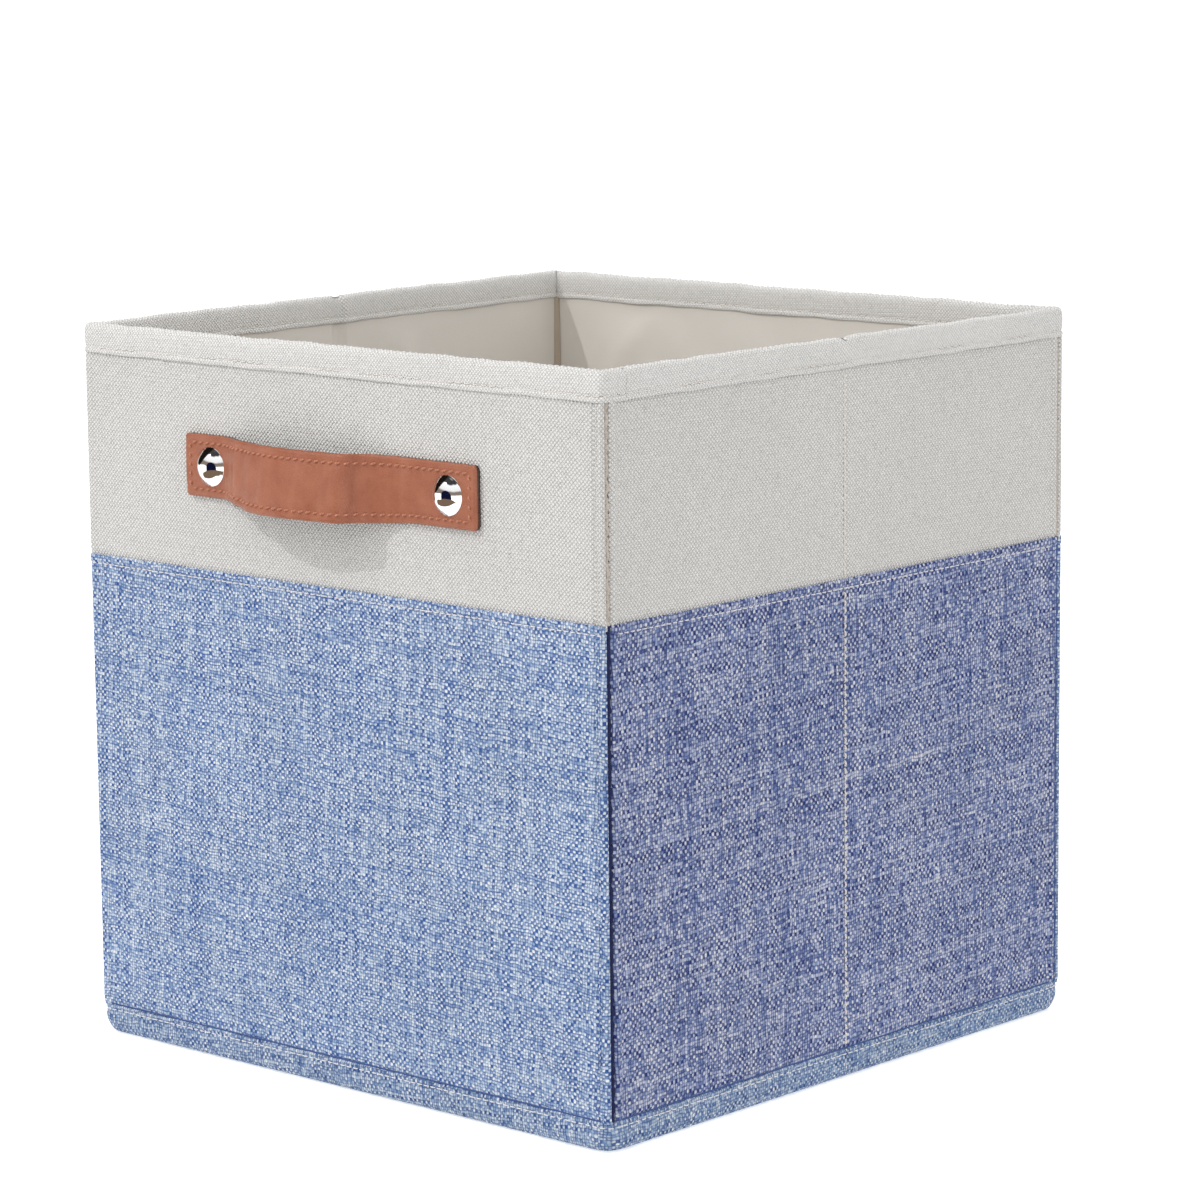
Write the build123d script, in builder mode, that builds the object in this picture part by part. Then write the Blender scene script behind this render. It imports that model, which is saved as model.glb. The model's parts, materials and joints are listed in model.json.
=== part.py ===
"""Collapsible fabric storage bin.

A square, open-topped bin of fabric over stiff board. The front and back walls span the full width and
carry a strap handle each. The left and right walls sit between them and are split at a centre crease,
so the bin folds flat once its loose base board is lifted out.

Frame: millimetres, +Z up, origin at the middle of the underside, front wall towards -Y.
"""

import os
from math import acos
from math import asin
from math import cos
from math import degrees
from math import radians
from math import sin
from math import sqrt

from build123d import *

# ---- driving dimensions -------------------------------------------------------------------------
width = 287.0  # outside of the fabric, along X
depth = 287.0  # outside of the fabric, along Y
height = 300.0  # floor to the top of the rim binding

fabric_t = 0.8  # outer fabric
board_t = 2.2  # stiff board inside every wall
lining_t = 0.6  # inner lining
trim_t = 0.8  # rim binding and hem fabric

binding_h = 12.0  # height of the rim binding on both faces
hem_h = 12.0  # height of the hem band round the foot
hem_lift = 0.3  # the hem clears the floor, because the bottom panel carries the bin
colour_seam_z = 204.0  # where the lower fabric meets the upper fabric

joint_gap = 0.3  # running gap beside every fold line
rim_round_r = 0.48  # top edges of the binding
hem_round_r = 1.6  # lower outer edge of the hem

# handles
strap_len = 162.0
strap_w = 25.4
strap_z = 247.0  # middle of the strap
strap_t = 1.4  # outer leather layer
backing_t = 1.2  # backing layer against the wall
strap_rise = 14.2  # finger room under the crest
strap_crest_x = 0.0
strap_left_r = (45.5, 80.0)  # arcs left of the crest: where it leaves the wall, and over the top
strap_right_r = (26.3, 40.0)  # the same on the right, where the slack ends in a steeper fall
strap_corner_r = 1.6  # corners of the strap as seen from the front

# rivets
rivet_x = 66.0  # from the middle of the strap
rivet_hole_r = 2.0
cap_r = 8.0
cap_h = 4.2
cap_rim_h = 0.7
washer_r = 6.0
washer_t = 0.8
tail_r = 3.2
tail_t = 0.5

# bottom
bottom_t = 1.2
bottom_inset = 3.0  # from the outside of the walls
base_side = 274.0
base_corner_r = 4.0
base_z = 1.5
base_core_t = 2.4
base_cover_t = 0.5

# seams
corner_seam_w = 3.0
centre_seam_w = 1.2
centre_seam_t = 0.45
corner_seam_round_r = 0.36
seam_end_gap = 2.0  # the seams stop short of the hem and the binding

# ---- derived sizes ------------------------------------------------------------------------------
wall_t = fabric_t + board_t + lining_t
half_w = width / 2
half_d = depth / 2
wall_top = height - trim_t
inner_x = half_w - wall_t
inner_y = half_d - wall_t
# Corner fold axes lie on the innermost surface, crease axes on the outermost one.
fold_x = inner_x - trim_t
fold_y = inner_y - trim_t
crease_x = half_w + trim_t
side_start = fold_y - joint_gap
drill_reach = 2 * wall_t  # both ways from the outside, so that a drill clears the whole wall

os.makedirs("parts", exist_ok=True)


def save(builder, name):
    """Labels a finished sub-part and writes it as a STEP file."""
    builder.part.label = name
    export_step(builder.part, "parts/" + name + ".step")


def wall_plane(facing):
    """The floor plane turned so that its -Y side is the outside of the front or back wall."""
    turn = {"front": 0, "back": 180}[facing]
    return Plane.XY.rotated((0, 0, turn))


def rivet_axes(facing):
    """Planes on the outside of a wall at its rivets, with Z pointing out of the wall."""
    sign = {"front": -1, "back": 1}[facing]
    planes = []
    for x in (-rivet_x, rivet_x):
        planes.append(Plane(origin=(x, sign * half_d, strap_z), x_dir=(1, 0, 0), z_dir=(0, sign, 0)))
    return planes


def drill_rivets(facing, reach):
    """Cuts the rivet holes of a wall from the part that is being built."""
    for plane in rivet_axes(facing):
        with BuildSketch(plane) as hole:
            Circle(rivet_hole_r)
        extrude(hole.sketch, amount=reach, both=True, mode=Mode.SUBTRACT)


# ---- front and back walls -----------------------------------------------------------------------
def layer(plane, z0, z1, x_half, outer, inner):
    """One flat layer of a full-width wall, between two distances from the middle of the bin."""
    with BuildSketch(plane.offset(z0)) as outline:
        with Locations((0, -(outer + inner) / 2)):
            Rectangle(2 * x_half, outer - inner)
    extrude(outline.sketch, amount=z1 - z0)


def wrapped_fabric(plane, z0, z1):
    """Outer fabric of a full-width wall, turned over both upright edges of its board."""
    with BuildSketch(plane.offset(z0)) as outline:
        with Locations((0, -(half_d + inner_y) / 2)):
            Rectangle(width, wall_t)
        with Locations((0, -(half_d - fabric_t + inner_y) / 2)):
            Rectangle(width - 2 * fabric_t, wall_t - fabric_t, mode=Mode.SUBTRACT)
    extrude(outline.sketch, amount=z1 - z0)


def full_wall(facing):
    """Board, fabrics, lining, binding and hem of the front or back wall."""
    plane = wall_plane(facing)
    board_outer = half_d - fabric_t
    board_inner = board_outer - board_t
    board_half = half_w - fabric_t
    with BuildPart() as board:
        layer(plane, hem_h, wall_top, board_half, board_outer, board_inner)
        drill_rivets(facing, drill_reach)
    save(board, facing + "_board")

    with BuildPart() as lower:
        wrapped_fabric(plane, hem_h, colour_seam_z)
    save(lower, facing + "_lower_fabric")

    with BuildPart() as upper:
        wrapped_fabric(plane, colour_seam_z, wall_top)
        drill_rivets(facing, drill_reach)
    save(upper, facing + "_upper_fabric")

    with BuildPart() as lining:
        layer(plane, hem_h, wall_top, board_half, board_inner, inner_y)
        drill_rivets(facing, drill_reach)
    save(lining, facing + "_lining")

    with BuildPart() as binding:
        layer(plane, height - binding_h, height, half_w + trim_t, half_d + trim_t, fold_y)
        with BuildSketch(plane.offset(height - binding_h)):
            with Locations((0, -(half_d + inner_y) / 2)):
                Rectangle(width, wall_t)
        extrude(amount=binding_h - trim_t, mode=Mode.SUBTRACT)
        top_edges = binding.edges().filter_by(Axis.X).group_by(Axis.Z)[-1]
        fillet(top_edges, rim_round_r)
    save(binding, facing + "_rim_binding")

    with BuildPart() as hem:
        layer(plane, hem_lift, hem_h, half_w + trim_t, half_d + trim_t, board_inner + trim_t)
        outer_low = hem.edges().filter_by(Axis.X).group_by(Axis.Z)[0].sort_by(Axis.Y)
        fillet(outer_low[0] if facing == "front" else outer_low[-1], hem_round_r)
    save(hem, facing + "_hem")


# ---- side wall halves ---------------------------------------------------------------------------
def half_layer(signs, z0, z1, outer, inner, start, end):
    """One flat layer of a side wall half, between two distances from the middle along X and Y."""
    sx, sy = signs
    with BuildSketch(Plane.XY.offset(z0)) as outline:
        with Locations((sx * (outer + inner) / 2, sy * (start + end) / 2)):
            Rectangle(outer - inner, start - end)
    extrude(outline.sketch, amount=z1 - z0)


def wrapped_half(signs, z0, z1):
    """Outer fabric of a side wall half, turned over both upright edges of its board."""
    half_layer(signs, z0, z1, half_w, inner_x, side_start, joint_gap)
    sx, sy = signs
    with BuildSketch(Plane.XY.offset(z0)) as hollow:
        with Locations((sx * (half_w - fabric_t + inner_x) / 2, sy * (side_start + joint_gap) / 2)):
            Rectangle(wall_t - fabric_t, side_start - joint_gap - 2 * fabric_t)
    extrude(hollow.sketch, amount=z1 - z0, mode=Mode.SUBTRACT)


def half_wall(name, signs):
    """Board, fabrics, lining, binding and hem of one half of a side wall."""
    board_outer = half_w - fabric_t
    board_inner = board_outer - board_t
    board_start = side_start - fabric_t
    board_end = joint_gap + fabric_t
    hem_inner = board_inner + trim_t
    with BuildPart() as board:
        half_layer(signs, hem_h, wall_top, board_outer, board_inner, board_start, board_end)
    save(board, name + "_board")

    with BuildPart() as lower:
        wrapped_half(signs, hem_h, colour_seam_z)
    save(lower, name + "_lower_fabric")

    with BuildPart() as upper:
        wrapped_half(signs, colour_seam_z, wall_top)
    save(upper, name + "_upper_fabric")

    with BuildPart() as lining:
        half_layer(signs, hem_h, wall_top, board_inner, inner_x, board_start, board_end)
    save(lining, name + "_lining")

    with BuildPart() as binding:
        half_layer(signs, height - binding_h, height, crease_x, fold_x, side_start, joint_gap)
        with BuildSketch(Plane.XY.offset(height - binding_h)):
            with Locations((signs[0] * (half_w + inner_x) / 2, 0)):
                Rectangle(wall_t, depth)
        extrude(amount=binding_h - trim_t, mode=Mode.SUBTRACT)
        top_edges = binding.edges().filter_by(Axis.Y).group_by(Axis.Z)[-1]
        fillet(top_edges, rim_round_r)
    save(binding, name + "_rim_binding")

    with BuildPart() as hem:
        half_layer(signs, hem_lift, hem_h, crease_x, hem_inner, hem_inner - joint_gap, joint_gap)
        outer_low = hem.edges().filter_by(Axis.Y).group_by(Axis.Z)[0].sort_by(Axis.X)
        fillet(outer_low[-1] if signs[0] > 0 else outer_low[0], hem_round_r)
    save(hem, name + "_hem")


# ---- seams --------------------------------------------------------------------------------------
def corner_seam(name, signs):
    """The sewn edge in the groove between a full wall and the side wall beside it."""
    sx, sy = signs
    z0 = hem_h + seam_end_gap
    z1 = height - binding_h - seam_end_gap
    seam_x = half_w - fabric_t - corner_seam_w / 2
    seam_y = (inner_y + fold_y) / 2
    with BuildPart() as seam:
        with BuildSketch(Plane.XY.offset(z0)):
            with Locations((sx * seam_x, sy * seam_y)):
                RectangleRounded(corner_seam_w, trim_t, corner_seam_round_r)
        extrude(amount=z1 - z0)
    save(seam, name)


def centre_seam(name, sign):
    """The thread line beside the crease of a side wall, on the outside of its front half."""
    z0 = hem_h + seam_end_gap
    z1 = height - binding_h - seam_end_gap
    seam_x = half_w + centre_seam_t / 2
    seam_y = joint_gap + centre_seam_w / 2
    with BuildPart() as seam:
        with BuildSketch(Plane.XY.offset(z0)):
            with Locations((sign * seam_x, -seam_y)):
                Rectangle(centre_seam_t, centre_seam_w)
        extrude(amount=z1 - z0)
    save(seam, name)


# ---- handles ------------------------------------------------------------------------------------
def arc_points(centre, radius, angles):
    """Start, middle and end of a circular arc given by its centre and its end angles in degrees."""
    points = []
    for angle in (angles[0], sum(angles) / 2, angles[1]):
        points.append((centre[0] + radius * cos(radians(angle)), centre[1] + radius * sin(radians(angle))))
    return points


def strap_half(side, radii, offset_out):
    """Points of the two tangent arcs from the wall to the crest, on the left (-1) or right (1) side."""
    low_r, top_r = radii
    both = low_r + top_r
    run = sqrt(both**2 - (both - strap_rise) ** 2)
    turn = degrees(acos((both - strap_rise) / both))
    foot = arc_points((strap_crest_x + side * run, low_r), low_r - offset_out, (-90, -90 - side * turn))
    crest_centre = (strap_crest_x, strap_rise - top_r)
    crest = arc_points(crest_centre, top_r + offset_out, (90 - side * turn, 90))
    return foot, crest


def strap_line(offset_out):
    """Draws one long edge of the strap's side profile inside a BuildLine."""
    left_foot, left_crest = strap_half(-1, strap_left_r, offset_out)
    right_foot, right_crest = strap_half(1, strap_right_r, offset_out)
    Line((-strap_len / 2, offset_out), left_foot[0])
    ThreePointArc(*left_foot)
    ThreePointArc(*left_crest)
    ThreePointArc(*right_crest)
    ThreePointArc(*right_foot)
    Line(right_foot[0], (strap_len / 2, offset_out))


def strap_layer(facing, low, high):
    """One leather layer of a handle, between two distances off the wall side of the strap."""
    sign = {"front": -1, "back": 1}[facing]
    start = strap_z - strap_w / 2
    # The profile lies on the strap's lower edge. Its Y points out of the wall and its Z points down,
    # so the layer is raised by a negative amount.
    profile = Plane(origin=(0, sign * half_d, start), x_dir=(-sign, 0, 0), z_dir=(0, 0, -1))
    end = strap_len / 2
    with BuildSketch(profile) as side_view:
        with BuildLine():
            strap_line(low)
            Line((end, low), (end, high))
            strap_line(high)
            Line((-end, high), (-end, low))
        make_face()
    extrude(side_view.sketch, amount=-strap_w)


def rounded_corners(builder):
    """Rounds the four corners of a strap layer as seen from in front of the wall."""
    ends = builder.edges().filter_by(Axis.Y)
    fillet(ends, strap_corner_r)


def handle(facing):
    """Strap, backing, rivet caps, rivet posts and washers of one handle."""
    stack_t = backing_t + strap_t
    with BuildPart() as backing:
        strap_layer(facing, 0, backing_t)
        rounded_corners(backing)
        drill_rivets(facing, 2 * stack_t)
    save(backing, facing + "_handle_backing")

    with BuildPart() as strap:
        strap_layer(facing, backing_t, stack_t)
        rounded_corners(strap)
        drill_rivets(facing, 2 * stack_t)
    save(strap, facing + "_handle_strap")

    dome_h = cap_h - cap_rim_h
    dome_r = (cap_r**2 + dome_h**2) / (2 * dome_h)
    crown = stack_t + cap_h
    half_angle = degrees(asin(cap_r / dome_r))
    dome = arc_points((0, crown - dome_r), dome_r, (90 - half_angle, 90))
    with BuildPart() as caps:
        for plane in rivet_axes(facing):
            # The sketch's X runs along the wall and its Y points out of the wall.
            with BuildSketch(Plane(origin=plane.origin, x_dir=plane.x_dir, z_dir=-plane.y_dir)):
                with BuildLine():
                    Polyline((0, crown), (0, stack_t), (cap_r, stack_t), dome[0])
                    ThreePointArc(*dome)
                make_face()
            revolve(axis=Axis(plane.origin, plane.z_dir))
    save(caps, facing + "_rivet_caps")

    with BuildPart() as posts:
        for plane in rivet_axes(facing):
            with BuildSketch(plane.offset(-(wall_t + washer_t))):
                Circle(rivet_hole_r)
            extrude(amount=wall_t + washer_t + stack_t)
            with BuildSketch(plane.offset(-(wall_t + washer_t))):
                Circle(tail_r)
            extrude(amount=-tail_t)
    save(posts, facing + "_rivet_posts")

    with BuildPart() as washers:
        for plane in rivet_axes(facing):
            with BuildSketch(plane.offset(-wall_t)):
                Circle(washer_r)
                Circle(rivet_hole_r, mode=Mode.SUBTRACT)
            extrude(amount=-washer_t)
    save(washers, facing + "_rivet_washers")


# ---- bottom -------------------------------------------------------------------------------------
def bottom_panel():
    """The fabric bottom that the walls are sewn to; the bin stands on it."""
    side_x = width - 2 * bottom_inset
    side_y = depth - 2 * bottom_inset
    with BuildPart() as panel:
        with BuildSketch(Plane.XY):
            RectangleRounded(side_x, side_y, base_corner_r)
        extrude(amount=bottom_t)
    save(panel, "bottom_panel")


def base_board():
    """The loose base board: a stiff core, a cover turned down over its edges, and a sheet below."""
    core_side = base_side - 2 * base_cover_t
    core_z = base_z + base_cover_t
    with BuildPart() as sheet:
        with BuildSketch(Plane.XY.offset(base_z)):
            RectangleRounded(base_side, base_side, base_corner_r)
        extrude(amount=base_cover_t)
    save(sheet, "base_board_under_sheet")

    with BuildPart() as core:
        with BuildSketch(Plane.XY.offset(core_z)):
            RectangleRounded(core_side, core_side, base_corner_r - base_cover_t)
        extrude(amount=base_core_t)
    save(core, "base_board_core")

    with BuildPart() as cover:
        with BuildSketch(Plane.XY.offset(core_z)):
            RectangleRounded(base_side, base_side, base_corner_r)
        extrude(amount=base_core_t + base_cover_t)
        with BuildSketch(Plane.XY.offset(core_z)):
            RectangleRounded(core_side, core_side, base_corner_r - base_cover_t)
        extrude(amount=base_core_t, mode=Mode.SUBTRACT)
    save(cover, "base_board_cover")


# ---- the bin ------------------------------------------------------------------------------------
bottom_panel()
base_board()

for wall in ("front", "back"):
    full_wall(wall)
    handle(wall)

side_halves = {
    "left_front": (-1, -1),
    "left_back": (-1, 1),
    "right_front": (1, -1),
    "right_back": (1, 1),
}
for half_name, half_signs in side_halves.items():
    half_wall(half_name, half_signs)

corners = {
    "corner_seam_front_left": (-1, -1),
    "corner_seam_front_right": (1, -1),
    "corner_seam_back_left": (-1, 1),
    "corner_seam_back_right": (1, 1),
}
for seam_name, seam_signs in corners.items():
    corner_seam(seam_name, seam_signs)

centre_seam("left_centre_seam", -1)
centre_seam("right_centre_seam", 1)
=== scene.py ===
"""Looks of the collapsible fabric storage bin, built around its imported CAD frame."""

import json
import math

import bmesh
import bpy
import numpy as np
from mathutils import Matrix, Vector

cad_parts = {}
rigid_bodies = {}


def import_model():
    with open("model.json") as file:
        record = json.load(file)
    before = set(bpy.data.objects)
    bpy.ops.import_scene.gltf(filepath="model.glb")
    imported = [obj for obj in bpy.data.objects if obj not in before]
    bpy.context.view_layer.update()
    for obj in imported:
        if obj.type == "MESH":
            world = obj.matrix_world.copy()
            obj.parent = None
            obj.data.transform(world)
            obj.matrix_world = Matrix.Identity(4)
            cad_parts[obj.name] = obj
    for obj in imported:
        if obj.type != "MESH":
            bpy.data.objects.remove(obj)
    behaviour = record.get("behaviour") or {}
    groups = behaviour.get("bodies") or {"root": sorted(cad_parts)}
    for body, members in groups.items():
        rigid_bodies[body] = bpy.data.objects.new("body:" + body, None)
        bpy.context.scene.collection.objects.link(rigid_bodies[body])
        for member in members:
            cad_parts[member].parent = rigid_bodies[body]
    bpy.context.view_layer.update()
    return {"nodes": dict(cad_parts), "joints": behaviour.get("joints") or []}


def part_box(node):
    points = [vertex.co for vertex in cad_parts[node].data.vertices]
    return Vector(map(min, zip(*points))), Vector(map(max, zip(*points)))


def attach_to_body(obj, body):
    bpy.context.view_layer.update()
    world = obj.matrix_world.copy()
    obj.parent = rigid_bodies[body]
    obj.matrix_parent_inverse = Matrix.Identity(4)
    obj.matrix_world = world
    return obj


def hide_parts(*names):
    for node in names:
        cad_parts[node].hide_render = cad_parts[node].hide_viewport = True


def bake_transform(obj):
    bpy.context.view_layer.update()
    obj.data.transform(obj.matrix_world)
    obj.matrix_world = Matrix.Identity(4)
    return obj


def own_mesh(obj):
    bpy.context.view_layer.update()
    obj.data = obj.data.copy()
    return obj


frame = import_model()
MM = 0.001

# ---- sizes read from the frame, in metres -------------------------------------------------------
OUT = -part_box("front_lower_fabric")[0].y  # outside of the wall fabric, from the middle of the bin
LINING = -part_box("front_lining")[1].y  # inside of the lining
RIM_IN = -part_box("front_rim_binding")[1].y  # inside of the rim binding, where the corners fold
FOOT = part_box("front_lower_fabric")[0].z  # top of the hem
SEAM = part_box("front_lower_fabric")[1].z  # where the blue fabric meets the cream one
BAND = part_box("front_rim_binding")[0].z  # lower edge of the rim binding
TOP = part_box("front_rim_binding")[1].z
FABRIC_T = 0.8 * MM
LINING_T = 0.6 * MM

# The walls in order round the bin. Seen from outside, s runs along a wall from left to right.
RING = ("front", "right", "back", "left")
ALONG = {"front": (1, 0), "right": (0, 1), "back": (-1, 0), "left": (0, -1)}
OUTWARD = {"front": (0, -1), "right": (1, 0), "back": (0, 1), "left": (-1, 0)}
# The body at the low end and at the high end of s.
ENDS = {
    "front": ("front", "front"),
    "right": ("right_front", "right_back"),
    "back": ("back", "back"),
    "left": ("left_back", "left_front"),
}
CREASED = ("right", "left")
CREASE_HALF = 5 * MM  # half the width of the strips that bend at a crease
CREASE_EASE = 3.6 * MM  # how far in from that strip's edge the dip below is full
CREASE_DIP = 2.1 * MM  # how far the lining is sewn back towards the outer fabric there
RIM_PINCH = 1.6 * MM  # the same for the inside of the rim binding
CORNER_RUN = 9 * MM  # how far a bending corner piece reaches along each wall


# ---- meshes -------------------------------------------------------------------------------------
def new_mesh(name, points, faces, uv, material):
    """A smooth mesh object with real-size UVs, whose faces look outwards."""
    mesh = bpy.data.meshes.new(name)
    mesh.from_pydata(np.asarray(points, float).reshape(-1, 3).tolist(), [], faces)
    mesh.update()
    layer = mesh.uv_layers.new(name="Weave")
    loops = np.zeros(len(mesh.loops), np.int32)
    mesh.loops.foreach_get("vertex_index", loops)
    layer.data.foreach_set("uv", np.asarray(uv, float).reshape(-1, 2)[loops].astype(np.float32).ravel())
    mesh.polygons.foreach_set("use_smooth", np.ones(len(mesh.polygons), bool))
    mesh.set_sharp_from_angle(angle=math.radians(55))
    mesh.materials.append(material)
    thing = bpy.data.objects.new(name, mesh)
    bpy.context.scene.collection.objects.link(thing)
    return thing


def grid_faces(rows, columns, closed=False, start=0, flip=False):
    """Quads of a grid of points, whose rows may be closed loops."""
    faces = []
    for i in range(rows - 1):
        for j in range(columns if closed else columns - 1):
            k = (j + 1) % columns
            a, b = start + i * columns + j, start + i * columns + k
            quad = (a, b, b + columns, a + columns)
            faces.append(quad[::-1] if flip else quad)
    return faces


def capped_faces(rows, columns, start=0, flip=False):
    """Faces of a tube whose rows are closed loops of points, with a cap at each end."""
    faces = grid_faces(rows, columns, closed=True, start=start, flip=flip)
    first, last = (tuple(range(at, at + columns)) for at in (start, start + (rows - 1) * columns))
    return faces + ([first, last[::-1]] if flip else [first[::-1], last])


def unit(vectors):
    return vectors / np.maximum(np.linalg.norm(vectors, axis=-1, keepdims=True), 1e-12)


def spread(a, b):
    """Two rows of numbers as a grid of pairs."""
    return np.stack(np.broadcast_arrays(a, b), axis=-1)


def path_length(points):
    """The distance along a path at each of its points."""
    return np.concatenate([[0], np.cumsum(np.linalg.norm(np.diff(points, axis=0), axis=1))])


def read_off(at, along, rows):
    """Rows of numbers at distances along a path, from the rows at its points."""
    return np.stack([np.interp(at, along, column) for column in rows.T], axis=1)


def normals_of(points):
    """Unit normals of a grid of points."""
    across = np.gradient(points, axis=0)
    along = np.gradient(points, axis=1)
    return unit(np.cross(across, along))


def shell(name, points, uv, thickness, material, toward):
    """A closed sheet: a grid of points, and the same grid set back by its thickness."""
    rows, columns = points.shape[:2]
    normal = normals_of(points)
    flip = float((normal * np.asarray(toward)).sum(axis=2).mean()) < 0
    if flip:
        normal = -normal
    back = points - normal * thickness
    count = rows * columns
    faces = grid_faces(rows, columns, flip=flip)
    faces += grid_faces(rows, columns, start=count, flip=not flip)
    edge = [i * columns for i in range(rows - 1)]
    edge += [(rows - 1) * columns + j for j in range(columns - 1)]
    edge += [i * columns + columns - 1 for i in range(rows - 1, 0, -1)]
    edge += list(range(columns - 1, 0, -1))
    for a, b in zip(edge, edge[1:] + edge[:1]):
        quad = (a, b, b + count, a + count)
        faces.append(quad[::-1] if flip else quad)
    both = np.concatenate([points.reshape(-1, 3), back.reshape(-1, 3)])
    return new_mesh(name, both, faces, np.concatenate([uv.reshape(-1, 2)] * 2), material)


def tube(name, points, uv, material, flip=False):
    """A closed band: rows of points that are closed loops, with a cap at each end."""
    return new_mesh(name, points, capped_faces(*points.shape[:2], flip=flip), uv, material)


def smooth_step(x, low, high):
    t = np.clip((x - low) / (high - low), 0, 1)
    return t * t * (3 - 2 * t)


def hump(x, middle, width):
    return np.exp(-(((x - middle) / width) ** 2))


def wave(x, length, phase=0.0):
    """A sine of a distance, with its wavelength in millimetres."""
    return np.sin(x * 2 * math.pi / (length * MM) + phase)


def refine(corners, per_span):
    """Points on a Catmull-Rom curve through a short list of corners."""
    p = np.asarray(corners, float)
    last = len(p) - 1
    out = []
    for i in range(last):
        a, b, c, d = p[[max(i - 1, 0), i, i + 1, min(i + 2, last)]]
        for t in np.arange(per_span) / per_span:
            bend, twist = 2 * a - 5 * b + 4 * c - d, 3 * b - a - 3 * c + d
            out.append(0.5 * (2 * b + (c - a) * t + bend * t**2 + twist * t**3))
    return np.array(out + [p[-1]])


def refine_straight(corners, step):
    """Points at an even step along straight lines between corners."""
    p = np.asarray(corners, float)
    along = path_length(p)
    return read_off(np.arange(0, along[-1] + step / 2, step), along, p)


def mixed_steps(low, high, coarse, fine, reach):
    """Values from low to high that lie closer together near both ends."""
    middle = np.linspace(low + reach, high - reach, max(2, int((high - low - 2 * reach) / coarse) + 1))
    edge = np.linspace(0, reach, int(reach / fine) + 1)[:-1]
    return np.concatenate([low + edge, middle, high - edge[::-1]])


# ---- materials ----------------------------------------------------------------------------------
class Value:
    """A socket of a material's node tree. Arithmetic on it adds the nodes that do that arithmetic."""

    def __init__(self, nodes, socket):
        self.nodes, self.socket = nodes, socket

    def __add__(self, other):
        return self.nodes.math("ADD", self, other)

    def __sub__(self, other):
        return self.nodes.math("SUBTRACT", self, other)

    def __rsub__(self, other):
        return self.nodes.math("SUBTRACT", other, self)

    def __mul__(self, other):
        return self.nodes.math("MULTIPLY", self, other)

    def __truediv__(self, other):
        return self.nodes.math("DIVIDE", self, other)


class Nodes:
    """A new material's node tree, with short calls for the nodes that the fabrics need."""

    def __init__(self, name):
        self.material = bpy.data.materials.new(name)
        self.material.use_nodes = True
        self.tree = self.material.node_tree
        self.shader = self.tree.nodes["Principled BSDF"]

    def put(self, value, socket):
        """Links a value to a socket, or sets the socket to it if it is a number or a colour."""
        if isinstance(value, Value):
            self.tree.links.new(value.socket, socket)
        else:
            socket.default_value = (*value, 1) if isinstance(value, tuple) else value

    def node(self, kind, values=(), output=0, **settings):
        """A new node with its first inputs filled. Returns one of its outputs."""
        node = self.tree.nodes.new("ShaderNode" + kind)
        for key, setting in settings.items():
            setattr(node, key, setting)
        for value, socket in zip(values, node.inputs):
            self.put(value, socket)
        return Value(self, node.outputs[output])

    def math(self, operation, *values):
        return self.node("Math", values, operation=operation)

    def uv(self, turn=0.0):
        """The two UV coordinates in metres, turned by an angle."""
        both = self.node("UVMap", uv_map="Weave")
        split = self.node("SeparateXYZ", [both]).socket.node
        u, v = (Value(self, split.outputs[k]) for k in range(2))
        if turn:
            c, s = math.cos(turn), math.sin(turn)
            u, v = u * c - v * s, u * s + v * c
        return u, v

    def point(self, x=0.0, y=0.0, z=0.0):
        return self.node("CombineXYZ", (x, y, z))

    def from_object(self):
        return self.node("TexCoord", output="Object")

    def noise(self, vector, scale=1.0, detail=2.0, roughness=0.5, distortion=0.0):
        out = self.node("TexNoise", output="Fac")
        inputs = out.socket.node.inputs
        self.put(vector, inputs["Vector"])
        inputs["Scale"].default_value = scale
        inputs["Detail"].default_value = detail
        inputs["Roughness"].default_value = roughness
        inputs["Distortion"].default_value = distortion
        return out

    def random(self, value):
        out = self.node("TexWhiteNoise", output="Value", noise_dimensions="1D")
        self.put(value, out.socket.node.inputs["W"])
        return out

    def cells(self, vector, scale, feature="F1"):
        out = self.node("TexVoronoi", output="Distance", feature=feature)
        self.put(vector, out.socket.node.inputs["Vector"])
        out.socket.node.inputs["Scale"].default_value = scale
        return out

    def remap(self, value, low, high, to_low=0.0, to_high=1.0):
        return self.node("MapRange", (value, low, high, to_low, to_high))

    def ramp(self, value, stops):
        out = self.node("ValToRGB", [value])
        marks = out.socket.node.color_ramp.elements
        while len(marks) < len(stops):
            marks.new(0.5)
        for mark, (at, colour) in zip(marks, stops):
            mark.position = at
            mark.color = (*colour, 1)
        return out

    def mix(self, share, a, b, blend="MIX"):
        """Blends two colours, which are inputs 6 and 7 of the node."""
        out = self.node("Mix", [share], output=2, data_type="RGBA", blend_type=blend)
        self.put(a, out.socket.node.inputs[6])
        self.put(b, out.socket.node.inputs[7])
        return out

    def bump(self, height, distance, strength=1.0):
        out = self.node("Bump")
        inputs = out.socket.node.inputs
        inputs["Strength"].default_value = strength
        inputs["Distance"].default_value = distance
        self.put(height, inputs["Height"])
        self.put(out, self.shader.inputs["Normal"])

    def finish(self, colour, roughness, sheen=0.0, specular=0.3, metallic=0.0):
        self.put(colour, self.shader.inputs["Base Color"])
        self.put(roughness, self.shader.inputs["Roughness"])
        self.shader.inputs["Sheen Weight"].default_value = sheen
        self.shader.inputs["Specular IOR Level"].default_value = specular
        self.shader.inputs["Metallic"].default_value = metallic
        return self.material


def linear(red, green, blue):
    """An 8-bit screen colour as linear values."""
    parts = []
    for c in (red, green, blue):
        c = c / 255
        parts.append(c / 12.92 if c <= 0.04045 else ((c + 0.055) / 1.055) ** 2.4)
    return tuple(parts)


def darker(tone, share):
    return tuple(share * c for c in tone)


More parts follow.
